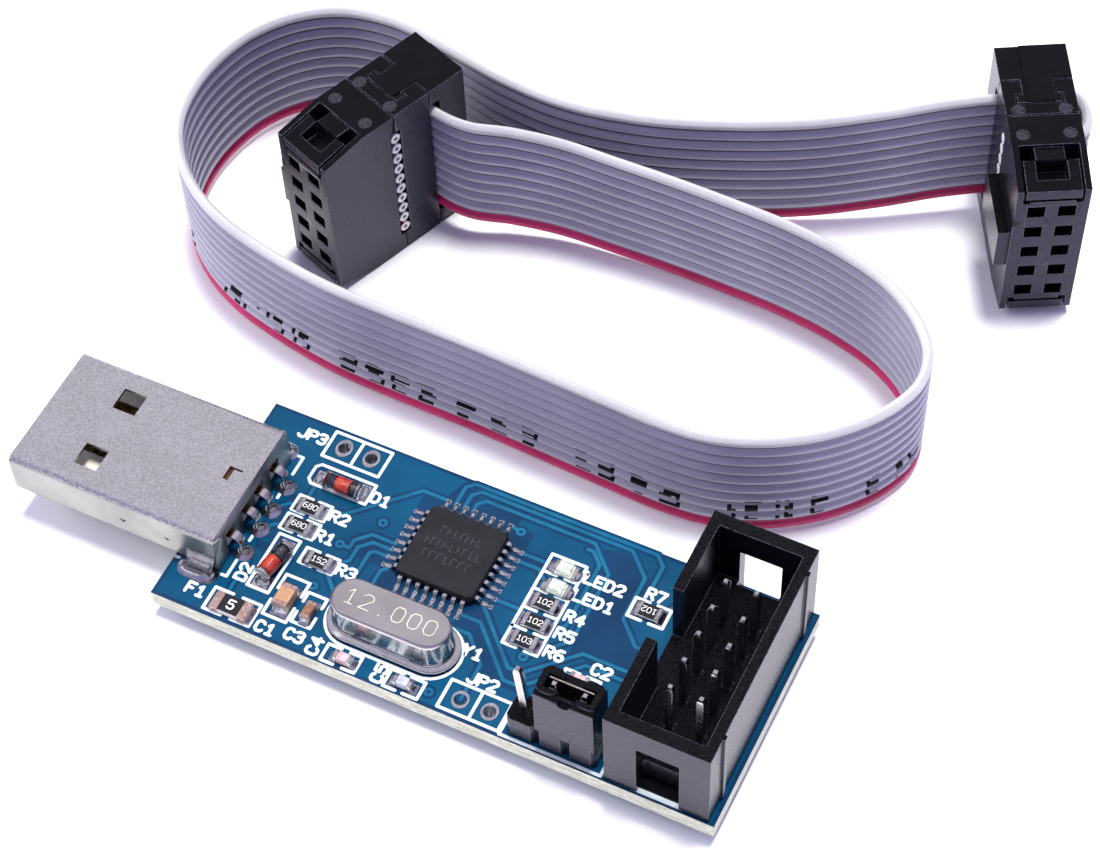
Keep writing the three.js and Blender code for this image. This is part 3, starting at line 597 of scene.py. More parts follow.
def socket_pieces(letter):
    """A socket's mouldings, contacts and cut conductors."""
    x, y, degrees, side = SOCKETS[letter]
    place = spot(x, y, 0, degrees)
    made = [recut(f"socket_{letter}_{part}_moulding", "black_plastic",
                  [PLASTIC, PLASTIC_TOP_SHADED, PLASTIC_EDGE_HIGHLIGHT], [f"socket_{letter}_{part}"], bevel=0.06,
                  marks=upward, body="isp_cable")
            for part in ("body", "cover", "strain_relief")]
    details = Shape(place)
    for x, y in ((5.5, 1.95), (5.5, -1.95), (8.2, 1.95), (8.2, -1.95)):
        details.turned([(0.05, SOCKET_TOP), (0.62, SOCKET_TOP), (0.58, 17.012), (0.05, 17.012)],
                       PLASTIC_WORN, x, y, count=24)
    plateau = [(9.05, -1.32), (11.65, -1.32), (11.65, -2.98), (15.34, -2.98), (15.34, 1.05),
               (9.05, 1.05)]
    details.prism(plateau, SOCKET_TOP, 17.13, PLASTIC_TOP_SHADED)
    details.loft([[(x, 3.07, 11.9), (x, 3.07, 12.85), (x, 2.4, 12.15)] for x in (-0.012, 0.3)],
                 PLASTIC_ROUGH_SHADED)
    made.append(details.piece(f"socket_{letter}_moulded_details", "black_plastic",
                              body="isp_cable"))
    contacts = Shape(place)
    for row in range(-2, 3):
        for column in (-1, 1):
            y, z = column * PITCH / 2, HELD + row * PITCH
            for leaf in (-1, 1):
                line = [(x, z + leaf * off) for x, off in CONTACT]
                contacts.strap(line, 0.12, y, 0.8, TIN)
    made.append(contacts.piece(f"socket_{letter}_contacts", "tinned", body="isp_cable"))
    ends = Shape(place)
    for k in range(CONDUCTORS):
        z = HELD + conductor_offset(k)
        ends.place = (place @ Matrix.Translation((SEAM, side * (SOCKET_HALF - 0.08), z))
                      @ Matrix.Rotation(-side * math.pi / 2, 4, "X"))
        ends.turned([(0.22, 0), (0.22, 0.03), (0.1, 0.04)], VINYL_SHADE_DARK, count=14)
        ends.turned([(0.2, 0), (0.2, 0.05), (0.3, 0.1), (0.42, 0.09), (0.5, 0.04), (0.5, 0)],
                    CODE, count=20, hollow=True)
    made.append(ends.piece(f"socket_{letter}_cut_ends", "grey_vinyl", angle=60, body="isp_cable"))
    return made


on_cable = socket_pieces("a") + socket_pieces("b")
[value * MM for value in socket_run(*SOCKETS["a"])[-1]]


# ---- circuit board ----

TOP = 3.0                   # the board's upper face
SUNK = 2.98                 # where what is printed on it starts, inside it
SEAT = 3.02                 # where parts stand on it
UNDERSIDE = 1.4
USB_Y = -0.3                # the plug's middle line
BOARD = (-17.02, -10.23, 32.08, 10.23)
MODE_PINS = [(18.2 + i * PITCH, -8.43) for i in (-1, 0, 1)]
HEADER = (27.33, 0.08)
HEADER_PINS = [(HEADER[0] + (c - 0.5) * PITCH, HEADER[1] + (2 - r) * PITCH)
               for r in range(5) for c in range(2)]
USB_LEGS = [(-12.06, USB_Y + offset) for offset in (-3.5, -1, 1, 3.5)]
CRYSTAL = (2.53, -5.6)
LEAD_REACH = 2.44           # from the crystal's middle to its leads
CHIP = (3.44, 2.74)
RESISTORS = [(-9.19, 0.15), (-9.18, 2.07), (-6.06, -2.18), (12.07, 1.92), (12.17, 0),
             (12.12, -1.85), (19.85, 4.68)]
CAPACITORS = [(-6.7, -6.5), (17.6, -3.35), (-4.5, -6.75), (0.06, -9.35), (5.32, -9.28)]
LEDS = [(12.33, 3.6), (12.18, 5.42)]


def board_marks(middle, normal):
    """Mask on both faces and just over the rim, bare laminate on the sides, plating in holes."""
    x0, y0, x1, y1 = BOARD
    if abs(normal.z) > 0.5:
        return 0
    rim = min(middle.x - x0, x1 - middle.x, middle.y - y0, y1 - middle.y)
    return 1 if rim < 0.02 else 2


def board_and_rim():
    """The board, and the thin line of mask that shows along the top of its cut edges."""
    recut("board_laminate", "blue_mask", [MASK, LAMINATE, SOLDER],
          ["circuit_board"], bevel=0, marks=board_marks)
    rim = Shape()
    x0, y0, x1, y1 = BOARD
    rim.loft([[(x, y, z) for x, y in rectangle(x0 - grow, y0 - grow, x1 + grow, y1 + grow)]
              for grow, z in ((-0.3, 2.95), (0.012, 2.95), (0.012, TOP), (-0.3, TOP + 0.002))],
             MASK_BARE, closed=True)
    rim.piece("board_mask_rim", "blue_mask")


board_and_rim()

# Copper lines under the mask.
TRACES = table("""
1.24,7.4 1.24,9.35 1.85,9.95 18.2,9.95 19.05,9.1 19.05,5
2.04,7.4 2.04,8.85 2.65,9.47 16.2,9.47 18.2,7.5 18.2,3.4 20.15,1.45 21.5,1.45
2.84,7.4 2.84,8.25 3.4,8.83 13.2,8.83 15.4,6.6 15.4,-0.2 12.6,-3
12.9,8.1 13.4,8.1 14.4,7.1 14.4,0.9 13.9,0.4
7.2,-0.1 7.6,-0.1 11.95,-4.42 13.1,-4.42 16.7,-0.85 21.5,-0.85
6.25,-1.65 8.15,-1.65 12.1,-5.58 13.5,-5.58 17.4,-1.7 21.5,-1.7
6.3,-3 7.85,-3 9.9,-5.05 9.9,-8.5
7.9,5.54 11.3,5.54
7.9,4.74 10.2,4.74 11.3,3.65
7.9,0.74 10.7,0.74 11.3,0.1
0.44,7.57 -1.75,7.57 -6.5,2.85 -8.2,2.3
-1.4,2.05 -3.5,2.05 -4.6,0.95 -4.6,0.15 -5.46,0.15
-1.4,1.4 -3.1,1.4 -4,0.5 -4,-0.9 -4.9,-1.8
-1.4,0.7 -2.6,0.7 -2.9,0.4 -2.9,-3.4
-0.9,-0.3 -1.3,-0.7 -1.3,-3.2
-10,4.6 -10,2.6
-12.06,0.9 -11.1,1.9 -10.1,2.1
-12.06,-1.2 -11.2,-0.4 -10.1,0.1
-5,-2.8 -3.7,-4.1
-11.4,-4.3 -11.4,-8.2
6.3,7.55 7.26,7.33
20.7,4.9 21.6,6.4
""")
VIAS = [(-3.26, 3.41), (-5.46, 0.15), (7.26, 7.33), (7.35, -8.98), (12.59, -3.06), (-5.5, -4.25)]
# Areas with no copper under the mask: outlines, then middles and half sides of those round parts.
BARE = table("""
13.5,8.5 16.1,9.15 17.9,7.4 17.9,3.25 20,1.15 22,1.15 22,-0.55 16.8,-0.55 15.7,-1.7 15.7,6.6
6.2,-0.9 7.2,0.2 8.2,0 12.1,-4.1 12.9,-4.1 13.9,-5 13.9,-6.2 10.3,-6.2 7.4,-3.3 6.2,-2.7
-11.5,2.7 -10.8,3 -10.8,-1 -11.4,-1
-11.9,-2.2 -10.5,-2.2 -10.5,-3.2 -11.5,-3
-4.7,1.6 -3.6,2.4 -1.2,2.4 -1.2,-0.4 -3.6,-0.4 -4.7,0.4
0.3,7.9 0.9,9.6 3.4,8.6 6.8,8.5 6.8,7.4 0.3,7.4
""")
BARE_BOXES = [(x, y, 1.5, 0.72) for x, y in RESISTORS + LEDS] + [
    (-10.26, -8.92, 2.0, 0.95), (-6.7, -6.5, 0.95, 1.75), (-4.5, -6.75, 0.7, 1.3),
    (0.06, -9.35, 1.3, 0.6), (5.32, -9.28, 1.3, 0.6), (17.6, -3.35, 1.3, 0.6),
    (-8.15, 5.37, 2.55, 0.85), (-9.4, -3.7, 0.8, 2.5)]


def dish(shape, outline, low, high, material):
    """A low prism from an outline in either sense."""
    area = sum(a[0] * b[1] - b[0] * a[1] for a, b in zip(outline, outline[1:] + outline[:1]))
    shape.prism(outline if area > 0 else outline[::-1], low, high, material)


def board_print():
    """Mask that is darker over bare laminate and lighter over traces, each a hair proud."""
    bare, traces = Shape(), Shape()
    for outline in BARE:
        dish(bare, outline, SUNK, TOP + 0.003, MASK_BARE)
    bare.pad(*CHIP, 4.95, 4.95, SUNK, TOP + 0.004, MASK_BARE)
    for line in TRACES:
        bare.stroke(line, 0.8, SUNK, TOP + 0.005, MASK_BARE)
        traces.stroke(line, 0.3, SUNK, TOP + 0.0113, MASK_TRACE)
    for x, y in VIAS:
        bare.turned([(0.62, SUNK), (0.62, TOP + 0.006)], MASK_BARE, x, y)
        traces.turned([(0.42, SUNK), (0.4, TOP + 0.0167)], MASK_TRACE, x, y)
        traces.turned([(0.17, SUNK), (0.17, TOP + 0.0175)], MASK_BARE, x, y, count=12)
    for box in BARE_BOXES:
        bare.pad(*box, SUNK, TOP + 0.006, MASK_BARE)
    bare.piece("board_bare_areas", "blue_mask")
    traces.piece("board_traces", "blue_mask")


board_print()

SILK = (SUNK, TOP + 0.028)
LINE = 0.27
# Corners of the boxes round parts.
FULL_BOXES = row_of("""
-11,7.19,-5.75,9.8 8.5,-9.81,13.75,-7.19 -10.37,-6.37,-8.44,-1 13.95,-9.97,22.55,-6.85
""")
# Boxes left open in the middle of their long sides: corners, then the gap along X.
OPEN_BOXES = row_of("""
-10.7,1.44,-7.69,3,-9.5,-8.9 -10.7,-0.5,-7.69,1.04,-9.5,-8.9 -7.69,-2.75,-4.69,-1.25,-6.5,-5.87
-12.5,-9.75,-8.31,-7.62,-10.87,-10 -1.75,-9.97,1.27,-8.44,-0.6,0.19 3.81,-9.97,6.81,-8.37,4.9,5.55
18.31,3.81,21.37,5.62,19.5,20.2 16.1,-4.15,19.1,-2.6,17.3,17.9
""")
# The same for boxes whose gap is along Y.
TALL_BOXES = row_of("""
-7.94,-8.19,-5.81,-4.19,-6.75,-5.6 -5.5,-7.87,-3.81,-4.94,-6.87,-5.87
""")
# Reference labels: text, middle and turn in degrees.
LABELS = [
    ("JP3", -12.6, 8.6, 0), ("JP2", 10.78, -6.4, 0), ("D1", -4.5, 5.3, 0), ("D2", -11.2, -5.45, 90),
    ("R2", -6.65, 2.3, 0), ("R1", -6.85, 0.19, 0), ("R3", -3.7, -2.0, 0), ("R4", 14.75, 1.8, 0),
    ("R5", 14.72, 0.06, 0), ("R6", 14.7, -1.8, 0), ("R7", 19.7, 6.4, 0), ("LED2", 15.53, 5.62, 0),
    ("LED1", 15.4, 3.8, 0), ("F1", -13.85, -8.5, 0), ("C1", -7.06, -9.3, 0), ("C3", -4.6, -8.94, 0),
    ("C4", -2.7, -9.1, 90), ("C5", 3.1, -9.15, 90), ("C2", 18.75, -1.7, 0), ("Y1", 8.84, -4.37, 0),
]


def legend():
    """The white print: boxes, brackets, the crystal's outline and the reference labels."""
    ink = Shape()
    lines = []
    for x0, y0, x1, y1 in FULL_BOXES:
        lines.append([(x0, y0), (x1, y0), (x1, y1), (x0, y1), (x0, y0)])
    lines += [[(-8.37, 7.19), (-8.37, 9.8)], [(11.22, -9.81), (11.22, -7.19)]]
    for x0, y0, x1, y1, g0, g1 in OPEN_BOXES:
        lines.append([(g0, y0), (x0, y0), (x0, y1), (g0, y1)])
        lines.append([(g1, y0), (x1, y0), (x1, y1), (g1, y1)])
    for x0, y0, x1, y1, g0, g1 in TALL_BOXES:
        lines.append([(x0, g1), (x0, y1), (x1, y1), (x1, g1)])
        lines.append([(x0, g0), (x0, y0), (x1, y0), (x1, g0)])
    lines.append([(-10.5, 4.37), (-5.44, 4.37), (-5.44, 6.37), (-10.5, 6.37), (-10.87, 6.0),
                  (-10.87, 4.75), (-10.5, 4.37)])
    lines.append([(10.5, -2.56), (10.5, 6.5), (13.56, 6.5), (13.56, -2.56)])
    for y in (4.78, 3.0, 1.12, -0.8, -2.56):
        lines += [[(10.5, y), (11.7, y)], [(12.45, y), (13.56, y)]]
    lines.append(arc(13.56, 5.78, 0.42, -90, 90, 5))
    lines += [[(-12.7, 6.3), (-12.25, 6.3), (-12.25, 4.5)], [(-12.25, 2.4), (-12.25, 1.95)],
              [(-12.25, -2.1), (-12.25, -2.65)], [(-12.25, -4.7), (-12.25, -6.4), (-12.7, -6.4)],
              [(-16.95, -6.45), (-16.6, -6.45)]]
    outline = stadium(*CRYSTAL, 5.85, 2.55, 14)
    lines.append(outline + outline[:1])
    for line in lines:
        ink.stroke(line, LINE, *SILK, LEGEND)
    ink.stroke([(25.2, -9.82), (29.4, -9.82)], 0.42, *SILK, LEGEND)
    for text, x, y, degrees in LABELS:
        write(ink, text, x, y, 0.154, LINE, *SILK, LEGEND, degrees)
    ink.piece("board_legend", "blue_mask")


legend()


def annulus(shape, x, y, hole, half_x, half_y, low, high, material=SOLDER):
    """A flat ring round a hole, which may be wider one way than the other."""
    rings = []
    for i in range(28):
        c, s = math.cos(2 * math.pi * i / 28), math.sin(2 * math.pi * i / 28)
        rings.append([(x + hole * c, y + hole * s, low), (x + half_x * c, y + half_y * s, low),
                      (x + half_x * c * 0.96, y + half_y * s * 0.96, high),
                      (x + hole * c * 1.08, y + hole * s * 1.08, high)])
    shape.loft(rings, material, closed=True)


def solder_work():
    """Rings of the spare holes, and the solder of all that goes through the board."""
    top, under = Shape(), Shape()
    spare = [(-9.64, 8.57), (-7.1, 8.57), (9.9, -8.54), (12.44, -8.54)]
    for x, y in spare:
        oval = 0.92 if y > 0 else 0.82
        annulus(top, x, y, 0.49, 0.74, oval, SUNK, TOP + 0.03, TIN)
        annulus(under, x, y, 0.49, 0.8, oval, UNDERSIDE + 0.02, UNDERSIDE - 0.04)
    for x, y in USB_LEGS:
        cone = [(0.05, TOP), (0.84, TOP), (0.8, TOP + 0.06), (0.62, TOP + 0.16), (0.5, TOP + 0.32),
                (0.42, TOP + 0.3), (0.36, TOP + 0.12), (0.05, TOP + 0.08)]
        top.turned(cone, SOLDER, x, y, count=26, hollow=True)
    for side in (-1, 1):
        y = USB_Y + side * 6.57
        pad = stadium(-14.6, y, 1.8, 0.95, 14)
        top.prism(pad, SUNK, TOP + 0.03, SOLDER)
        hill = [stadium(-14.6 + 0.2 * side, y, 1.62 - 0.5 * k, 0.84 - 0.27 * k, 14)
                for k in (0, 0.5, 1)]
        top.loft([[(x, v, TOP + z) for x, v in ring] for ring, z in zip(hill, (0.03, 0.16, 0.42))],
                 SOLDER)
        under.loft([[(x, v, UNDERSIDE - z) for x, v in ring]
                    for ring, z in zip(hill, (-0.02, 0.2, 0.5))], SOLDER)
    crystal_leads = [(CRYSTAL[0] + end * LEAD_REACH, CRYSTAL[1]) for end in (-1, 1)]
    for x, y in USB_LEGS + MODE_PINS + HEADER_PINS + crystal_leads:
        under.turned([(0.86, 1.42), (0.84, 1.34), (0.62, 1.12), (0.44, 0.82), (0.36, 0.6)], SOLDER,
                     x, y, count=22)
    for x, y in HEADER_PINS + MODE_PINS:
        annulus(top, x, y, 0.5, 0.85, 0.85, SUNK, TOP + 0.012)
    for x, y, half_x, half_y in ((-6.1, 5.32, 0.42, 0.78), (-10.05, 5.1, 0.35, 0.7),
                                 (-9.4, -5.6, 0.7, 0.62), (-9.3, -1.75, 0.6, 0.42)):
        top.pad(x, y, half_x, half_y, TOP, TOP + 0.018, SOLDER)
        top.blob(x, y, TOP + 0.01, half_x * 0.92, half_y * 0.92, 0.14, SOLDER)
    top.piece("solder_top", "tinned", angle=50)
    under.piece("solder_underside", "tinned", angle=50)


solder_work()


# ---- small chips ----

def chip(name, x, y, degrees, size, body_look, slot, node, ends=TIN, code="", flip=0, pad=0.42):
    """A two-ended chip with its solder, its length along X before it is turned."""
    length, width, height, terminal = size
    half, side = length / 2, width / 2
    shape = Shape(spot(x, y, SEAT, degrees))
    shape.box((-half + 0.08, -side + 0.03, 0.03), (half - 0.08, side - 0.03, height - 0.12),
              CERAMIC_WHITE if code else body_look)
    shape.box((-half + terminal * 0.7, -side + 0.03, height - 0.16),
              (half - terminal * 0.7, side - 0.03, height - 0.02), body_look)
    for end in (-1, 1):
        near, far = sorted((end * (half - terminal), end * half))
        shape.box((near, -side, 0), (far, side, height), ends)
    shape.piece(name, slot, [node], bevel=0.05)
    solder = Shape(spot(x, y, SEAT, degrees))
    for end in (-1, 1):
        near, far = sorted((end * (half - 0.3), end * (half + pad)))
        solder.box((near, -side - 0.05, -0.025), (far, side + 0.05, -0.004), SOLDER)
        line = [(half - 0.05, 0.0), (half + pad - 0.03, 0.0), (half + pad * 0.5, height * 0.16),
                (half + pad * 0.18, height * 0.42), (half - 0.05, height * 0.72)]
        skew = random.uniform(0.85, 1.1)
        rings = [[(end * a, w * side, b * lift * skew) for a, b in line]
                 for w, lift in ((-0.96, 0.5), (-0.6, 0.95), (0.1, 1.05), (0.7, 0.9), (0.97, 0.45))]
        solder.loft(rings, SOLDER)
    solder.piece(f"{name}_solder", "tinned", angle=50)
    if code:
        mark = Shape(spot(x, y, SEAT, degrees + flip))
        unit, width = (0.082, 0.06) if len(code) > 1 else (0.13, 0.14)
        write(mark, code, 0, 0, unit, width, height - 0.04, height - 0.012, CODE, advance=5.4)
        mark.piece(f"{name}_code", slot)


# Length, width, height and terminal of each size of chip.
SIZE_0603 = (1.6, 0.82, 0.8, 0.35)
SIZE_0805 = (2.05, 1.25, 0.5, 0.38)
SIZE_0805_TALL = (2.05, 1.35, 1.25, 0.4)
SIZE_1206 = (3.2, 1.6, 0.75, 0.72)
CODES = ["680", "680", "152", "102", "102", "103", "102"]
for i, (x, y) in enumerate(RESISTORS):
    chip(f"resistor_{i + 1}_chip", x, y, 0, SIZE_0805, RESISTOR, "resistor_black",
         f"resistor_{i + 1}", code=CODES[i], flip=180 if i == 6 else 0)
chip("fuse_chip", -10.26, -8.92, 0, SIZE_1206, RESISTOR, "resistor_black", "fuse",
     ends=COPPER_TONED, code="5", pad=0.35)
for i, (size, finish, slot, degrees) in enumerate((
        (SIZE_0805_TALL, TAN, "tan_ceramic", 90), (SIZE_0603, PINK, "pink_ceramic", 0),
        (SIZE_0603, BROWN, "brown_ceramic", 90), (SIZE_0603, PINK, "pink_ceramic", 0),
        (SIZE_0603, GREY, "grey_ceramic", 0))):
    chip(f"capacitor_{i + 1}_chip", *CAPACITORS[i], degrees, size, finish, slot,
         f"capacitor_{i + 1}", ends=COPPER_TONED if i in (0, 2) else TIN)


def led(index, x, y):
    """A chip LED: a base with its die and wire pad under a clear lens."""
    shape = Shape(spot(x, y, SEAT))
    shape.box((-0.95, -0.6, 0.02), (0.95, 0.6, 0.33), LED_BASE)
    for end in (-1, 1):
        near, far = sorted((end * 0.68, end * 1.02))
        shape.box((near, -0.62, 0), (far, 0.62, 0.35), SOLDER)
    shape.box((-0.16, -0.16, 0.33), (0.16, 0.16, 0.48), LED_BASE)
    shape.box((0.3, -0.1, 0.33), (0.44, 0.1, 0.42), BRASS)
    rings = [[(a * half, b * half * 0.88, z) for a, b in arc(0, 0, 1, 45, 315, 3)]
             for half, z in ((0.9, 0.3), (0.84, 0.72), (0.76, 0.8))]
    shape.loft(rings, LENS)
    shape.piece(f"led_{index}_package", "led_white", [f"led_{index}"], bevel=0.03)
    solder = Shape(spot(x, y, SEAT))
    for end in (-1, 1):
        solder.blob(end * 1.12, 0, -0.01, 0.36, 0.6, 0.3, SOLDER)
    solder.piece(f"led_{index}_solder", "tinned", angle=50)


for i, (x, y) in enumerate(LEDS):
    led(i + 1, x, y)


def diode(index, x, y, degrees, red, slug):
    """A glass diode: its red core and its dark slug are each given as a stretch of its length."""
    shape = Shape(spot(x, y, SEAT + 0.74, degrees))
    end, cap, glass = 1.7, 0.36, 0.66
    for side in (-1, 1):
        rounded = [(0.3, end), (0.6, end - 0.03), (0.71, end - 0.12), (0.72, end - cap + 0.08),
                   (0.6, end - cap)]
        shape.turned([(r, side * a) for r, a in rounded], TIN, count=32, axis="X")
    shape.turned([(0.3, -1.36), (glass - 0.06, -1.32), (glass, -1.2), (glass, 1.2),
                  (glass - 0.06, 1.32), (0.3, 1.36)], GLASS, count=40, axis="X")
    for (low, high), radius, material in ((red, 0.58, RED_CORE), (slug, 0.5, SLUG)):
        shape.turned([(0.2, low), (radius - 0.04, low + 0.02), (radius, low + 0.08),
                      (radius, high - 0.08), (radius - 0.04, high - 0.02), (0.2, high)], material,
                     count=32, axis="X")
    shape.piece(f"diode_{index}_glass", "red_glass", [f"diode_{index}"], angle=40)


diode(1, -7.7, 4.85, 0, (-0.55, 0.72), (0.8, 1.28))
diode(2, -9.2, -3.85, 80, (-1.25, 0.18), (0.24, 1.22))


# ---- microcontroller ----

def microcontroller():
    """The flat pack with its dimple, its meaningless marking, 32 bent leads and their solder."""
    body = Shape(spot(*CHIP, SEAT))
    rings = []
    for half, cut, z in ((3.38, 0.3, 0.12), (3.5, 0.34, 0.6), (3.5, 0.34, 0.68), (3.42, 0.34, 1.07),
                         (3.34, 0.32, 1.12)):
        inner = half - cut
        rings.append([(half, -inner, z), (half, inner, z), (inner, half, z), (-inner, half, z),
                      (-half, inner, z), (-half, -inner, z), (-inner, -half, z), (inner, -half, z)])
    body.loft(rings, EPOXY)
    body.turned([(0.36, 1.1), (0.36, 1.125), (0.44, 1.125), (0.44, 1.1)], EPOXY, -2.55, 2.6,
                hollow=True, count=26)
    body.piece("microcontroller_body", "epoxy", ["microcontroller"], bevel=0.03)
    marks = Shape(spot(*CHIP, SEAT))
    for row, (y, length) in enumerate(((1.5, 3.4), (0.2, 4.9), (-1.0, 4.2))):
        x = -length / 2
        while x < length / 2:
            width = random.choice((0.28, 0.38, 0.46))
            marks.box((x, y - 0.36, 1.1), (x + 0.07, y + 0.36, 1.124), MARKING)
            bar = y + random.choice((-0.36, -0.04, 0.3))
            marks.box((x, bar, 1.1), (x + width, bar + 0.07, 1.126), MARKING)
            x += width + 0.2
    marks.piece("microcontroller_marking", "epoxy")
    leads, pads = Shape(), Shape()
    line = [(3.2, 0.6), (3.6, 0.6), (3.72, 0.585), (3.81, 0.53), (3.87, 0.42), (3.94, 0.22),
            (4.01, 0.12), (4.12, 0.065), (4.5, 0.06)]
    for side in range(4):
        for k in range(8):
            offset = (k - 3.5) * 0.8
            place = spot(*CHIP, SEAT, side * 90)
            leads.place, pads.place = place, place
            leads.strap(line, 0.12, offset, 0.37, TIN)
            pads.box((3.95, offset - 0.2, -0.025), (4.95, offset + 0.2, 0.0), SOLDER)
            pads.blob(4.42, offset, -0.005, 0.48, 0.2, 0.16, SOLDER, wobble=0.14)
    leads.piece("microcontroller_leads", "tinned", bevel=0.02)
    pads.piece("microcontroller_solder", "tinned", angle=60)


microcontroller()


# ---- crystal ----

def crystal():
    """The drawn can on its base, its value and its two leads."""
    x, y = CRYSTAL

    def stacked(shape, steps):
        """A skin over slot outlines, each with its half length, half width and height."""
        shape.loft([[(a, b, SEAT + z) for a, b in stadium(x, y, length, width, 20)]
                    for length, width, z in steps], NICKEL_BRIGHT)

    can = Shape()
    outer = [(5.6, 2.25, 0.36), (5.7, 2.35, 0.42), (5.7, 2.35, 0.56), (5.62, 2.27, 0.62),
             (5.3, 1.98, 0.64), (5.2, 1.9, 0.7), (5.15, 1.87, 0.8)]
    side = [(5.15, 1.87, 0.8), (5.15, 1.87, 3.12), (5.13, 1.85, 3.24), (5.07, 1.79, 3.36),
            (4.98, 1.7, 3.44)]
    crown = [(4.98, 1.7, 3.44), (4.86, 1.58, 3.49), (4.7, 1.42, 3.5)]
    stacked(can, outer + side[1:] + crown[1:])
    piece = can.piece("crystal_can_shell", "nickel", ["crystal_can"], angle=50)
    piece.data.materials.append(NICKEL_CAN)
    for face in piece.data.polygons:
        if face.center.z > (SEAT + 3.3) * MM:
            face.material_index = 1
    base = Shape()
    stacked(base, ((5.5, 2.15, 0), (5.6, 2.25, 0.05), (5.6, 2.25, 0.3), (5.52, 2.17, 0.34)))
    base.piece("crystal_base_plate", "nickel", ["crystal_base"], angle=50)
    mark = Shape(spot(x, y, SEAT))
    write(mark, "12.000", 0, 0, 0.225, 0.08, 3.48, 3.508, FIGURES, advance=6.2)
    mark.piece("crystal_value", "nickel")
    for i, end in enumerate((-1, 1)):
        lead = Shape()
        lead.turned([(0.1, 0.3), (0.215, 0.36), (0.215, 2.9), (0.1, 3.0)], TIN,
                    x + end * LEAD_REACH, y, count=16)
        lead.piece(f"crystal_lead_{i + 1}_wire", "tinned", [f"crystal_lead_{i + 1}"])


crystal()


# ---- USB plug ----

def shell_marks(middle, normal):
    """The second, darker material for all but the plug's top: painted shade."""
    return 0 if normal.z > 0.5 else 1


def contact_marks(middle, normal):
    """The second material for a contact's leg, behind the plug."""
    return 1 if middle.x > -14.2 else 0


def usb_details():
    """The latch tab in its notch, the skirts over the board tabs, and two thin black triangles on
    the side that paint the shade of two dimples.
    """
    details = Shape()
    details.box((-15.4, -0.8, 6.9), (-14.0, 0.8, 7.2), BRONZE)
    details.box((-14.85, -0.64, 7.1), (-14.1, 0.5, 7.36), NICKEL)
    # The skirts are a darker copy of the shell's nickel: painted dark reflection.
    # Each level of a skirt: its ends in X, how far out it stands and its height.
    skirt = [(-15.7, -13.15, 6.02, 5.0), (-15.65, -13.15, 6.16, 4.5), (-15.5, -13.2, 6.5, 4.0),
             (-15.3, -13.3, 6.76, 3.6), (-15.2, -13.4, 6.8, 3.1)]
    for side in (-1, 1):
        rings = []
        for x0, x1, out, z in skirt:
            outer, inner = USB_Y + side * out, USB_Y + side * (out - 0.2)
            rings.append([(x0, outer, z), (x1, outer, z), (x1, inner, z), (x0, inner, z)])
        details.loft(rings, LEG_METAL_REFLECTION)
    # Two thin black triangles on the side: painted shade of dimples, with no recess cut.
    for x, z, size in ((-21.6, 5.0, 0.3), (-17.5, 4.9, 0.24)):
        details.loft([[(x - size, y, z + size * 0.5), (x + size, y, z + size * 0.3),
                       (x, y, z - size * 0.5)] for y in (-6.32, -6.2)], PRINT)
    details.piece("usb_shell_details", "nickel")


recut("usb_shell_sheet", "nickel", [NICKEL, NICKEL_SIDE_SHADED], ["usb_shell"],
      bevel=0, marks=shell_marks, angle=28)
usb_details()
recut("usb_insulator_moulding", "white_plastic", WHITE_PLASTIC, ["usb_insulator"],
      bevel=0.05)
for i in range(1, 5):
    recut(f"usb_contact_{i}_strip", "tinned", [BRONZE, TIN], [f"usb_contact_{i}"],
          bevel=0.03, marks=contact_marks)
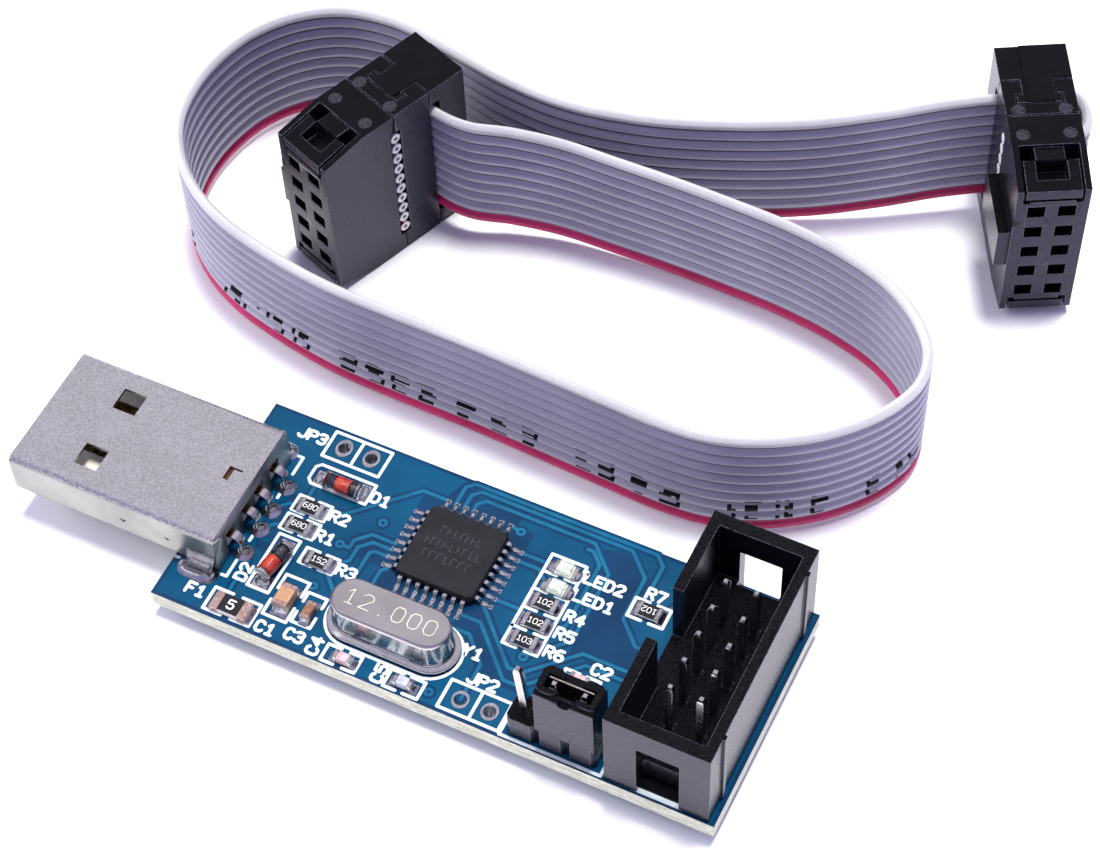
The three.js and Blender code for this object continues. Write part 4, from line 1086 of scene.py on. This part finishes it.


# ---- headers and jumper ----

# A dark block behind the header's front window: painted shade where the window looks into the
# hollow under the header.
window_shade_block = Shape()
window_shade_block.box((24.9, -9.6, 3.015), (29.7, -8.4, 3.2), PLASTIC_TOP_SHADED)
recut("isp_header_housing", "black_plastic", [PLASTIC, PLASTIC_ROUGH_SHADED, PLASTIC_EDGE_HIGHLIGHT],
      ["isp_header_shroud"], bevel=0.05, marks=upward)
window_shade_block.piece("isp_header_window_painted_shade", "black_plastic")
recut("mode_header_housing", "black_plastic", [PLASTIC, PLASTIC_TOP_SHADED, PLASTIC_EDGE_HIGHLIGHT],
      ["mode_header_base"], bevel=0.05, marks=upward)
for header, count in (("isp", 10), ("mode", 3)):
    recut(f"{header}_header_pins", "tinned", TIN,
          [f"{header}_header_pin_{i + 1}" for i in range(count)], bevel=0.04)
recut("jumper_cap_moulding", "black_plastic", [PLASTIC, PLASTIC_ROUGH_SHADED], ["jumper_cap"],
      bevel=0.03, marks=upward, body="jumper")
recut("jumper_clip_spring", "brass", BRASS, ["jumper_clip"], bevel=0.03, body="jumper")


# ---- floor, lights and surroundings ----

def studio():
    """A pale floor under four soft suns, in cool even surroundings."""
    floor_mesh = bpy.data.meshes.new("floor")
    floor_mesh.from_pydata([(-3, -3, 0), (3, -3, 0), (3, 3, 0), (-3, 3, 0)], [], [(0, 1, 2, 3)])
    floor_mesh.materials.append(FLOOR)
    floor = bpy.data.objects.new("floor", floor_mesh)
    bpy.context.collection.objects.link(floor)
    floor.location.z = -0.00002

    def distant(name, towards, degrees, strength, color, glossy, diffuse=True):
        light = bpy.data.lights.new(name, "SUN")
        light.angle = math.radians(degrees)
        light.energy = strength
        light.color = color
        holder = bpy.data.objects.new(name, light)
        bpy.context.collection.objects.link(holder)
        holder.rotation_mode = "QUATERNION"
        holder.rotation_quaternion = Vector(towards).to_track_quat("Z", "Y")
        holder.visible_glossy = glossy
        holder.visible_diffuse = diffuse

    distant("key", (0.04, 0.15, 0.99), 14, 4.8, (1.0, 0.99, 0.97), False)
    distant("fill", (-0.88, -0.2, 0.42), 50, 2.25, (1.0, 1.0, 0.95), False)
    distant("glint", (-0.5, -0.3, 0.81), 16, 0.12, (1.0, 1.0, 1.0), True)
    distant("ceiling", (-0.2, 0.46, 0.86), 90, 0.68, (1.0, 1.0, 0.72), True, diffuse=False)

    world = bpy.data.worlds.new("surroundings")
    bpy.context.scene.world = world
    world.use_nodes = True
    tree = world.node_tree
    place = tree.nodes.new("ShaderNodeTexCoord")
    split = tree.nodes.new("ShaderNodeSeparateXYZ")
    ramp = ramp_between(tree, 0.2, 0.8, (0.42, 0.41, 0.66, 1), (0.37, 0.35, 0.64, 1))
    tree.links.new(place.outputs["Generated"], split.inputs["Vector"])
    tree.links.new(split.outputs["Z"], ramp.inputs["Fac"])
    tree.links.new(ramp.outputs["Color"], tree.nodes["Background"].inputs["Color"])
    bpy.context.scene.view_settings.view_transform = "Standard"


studio()
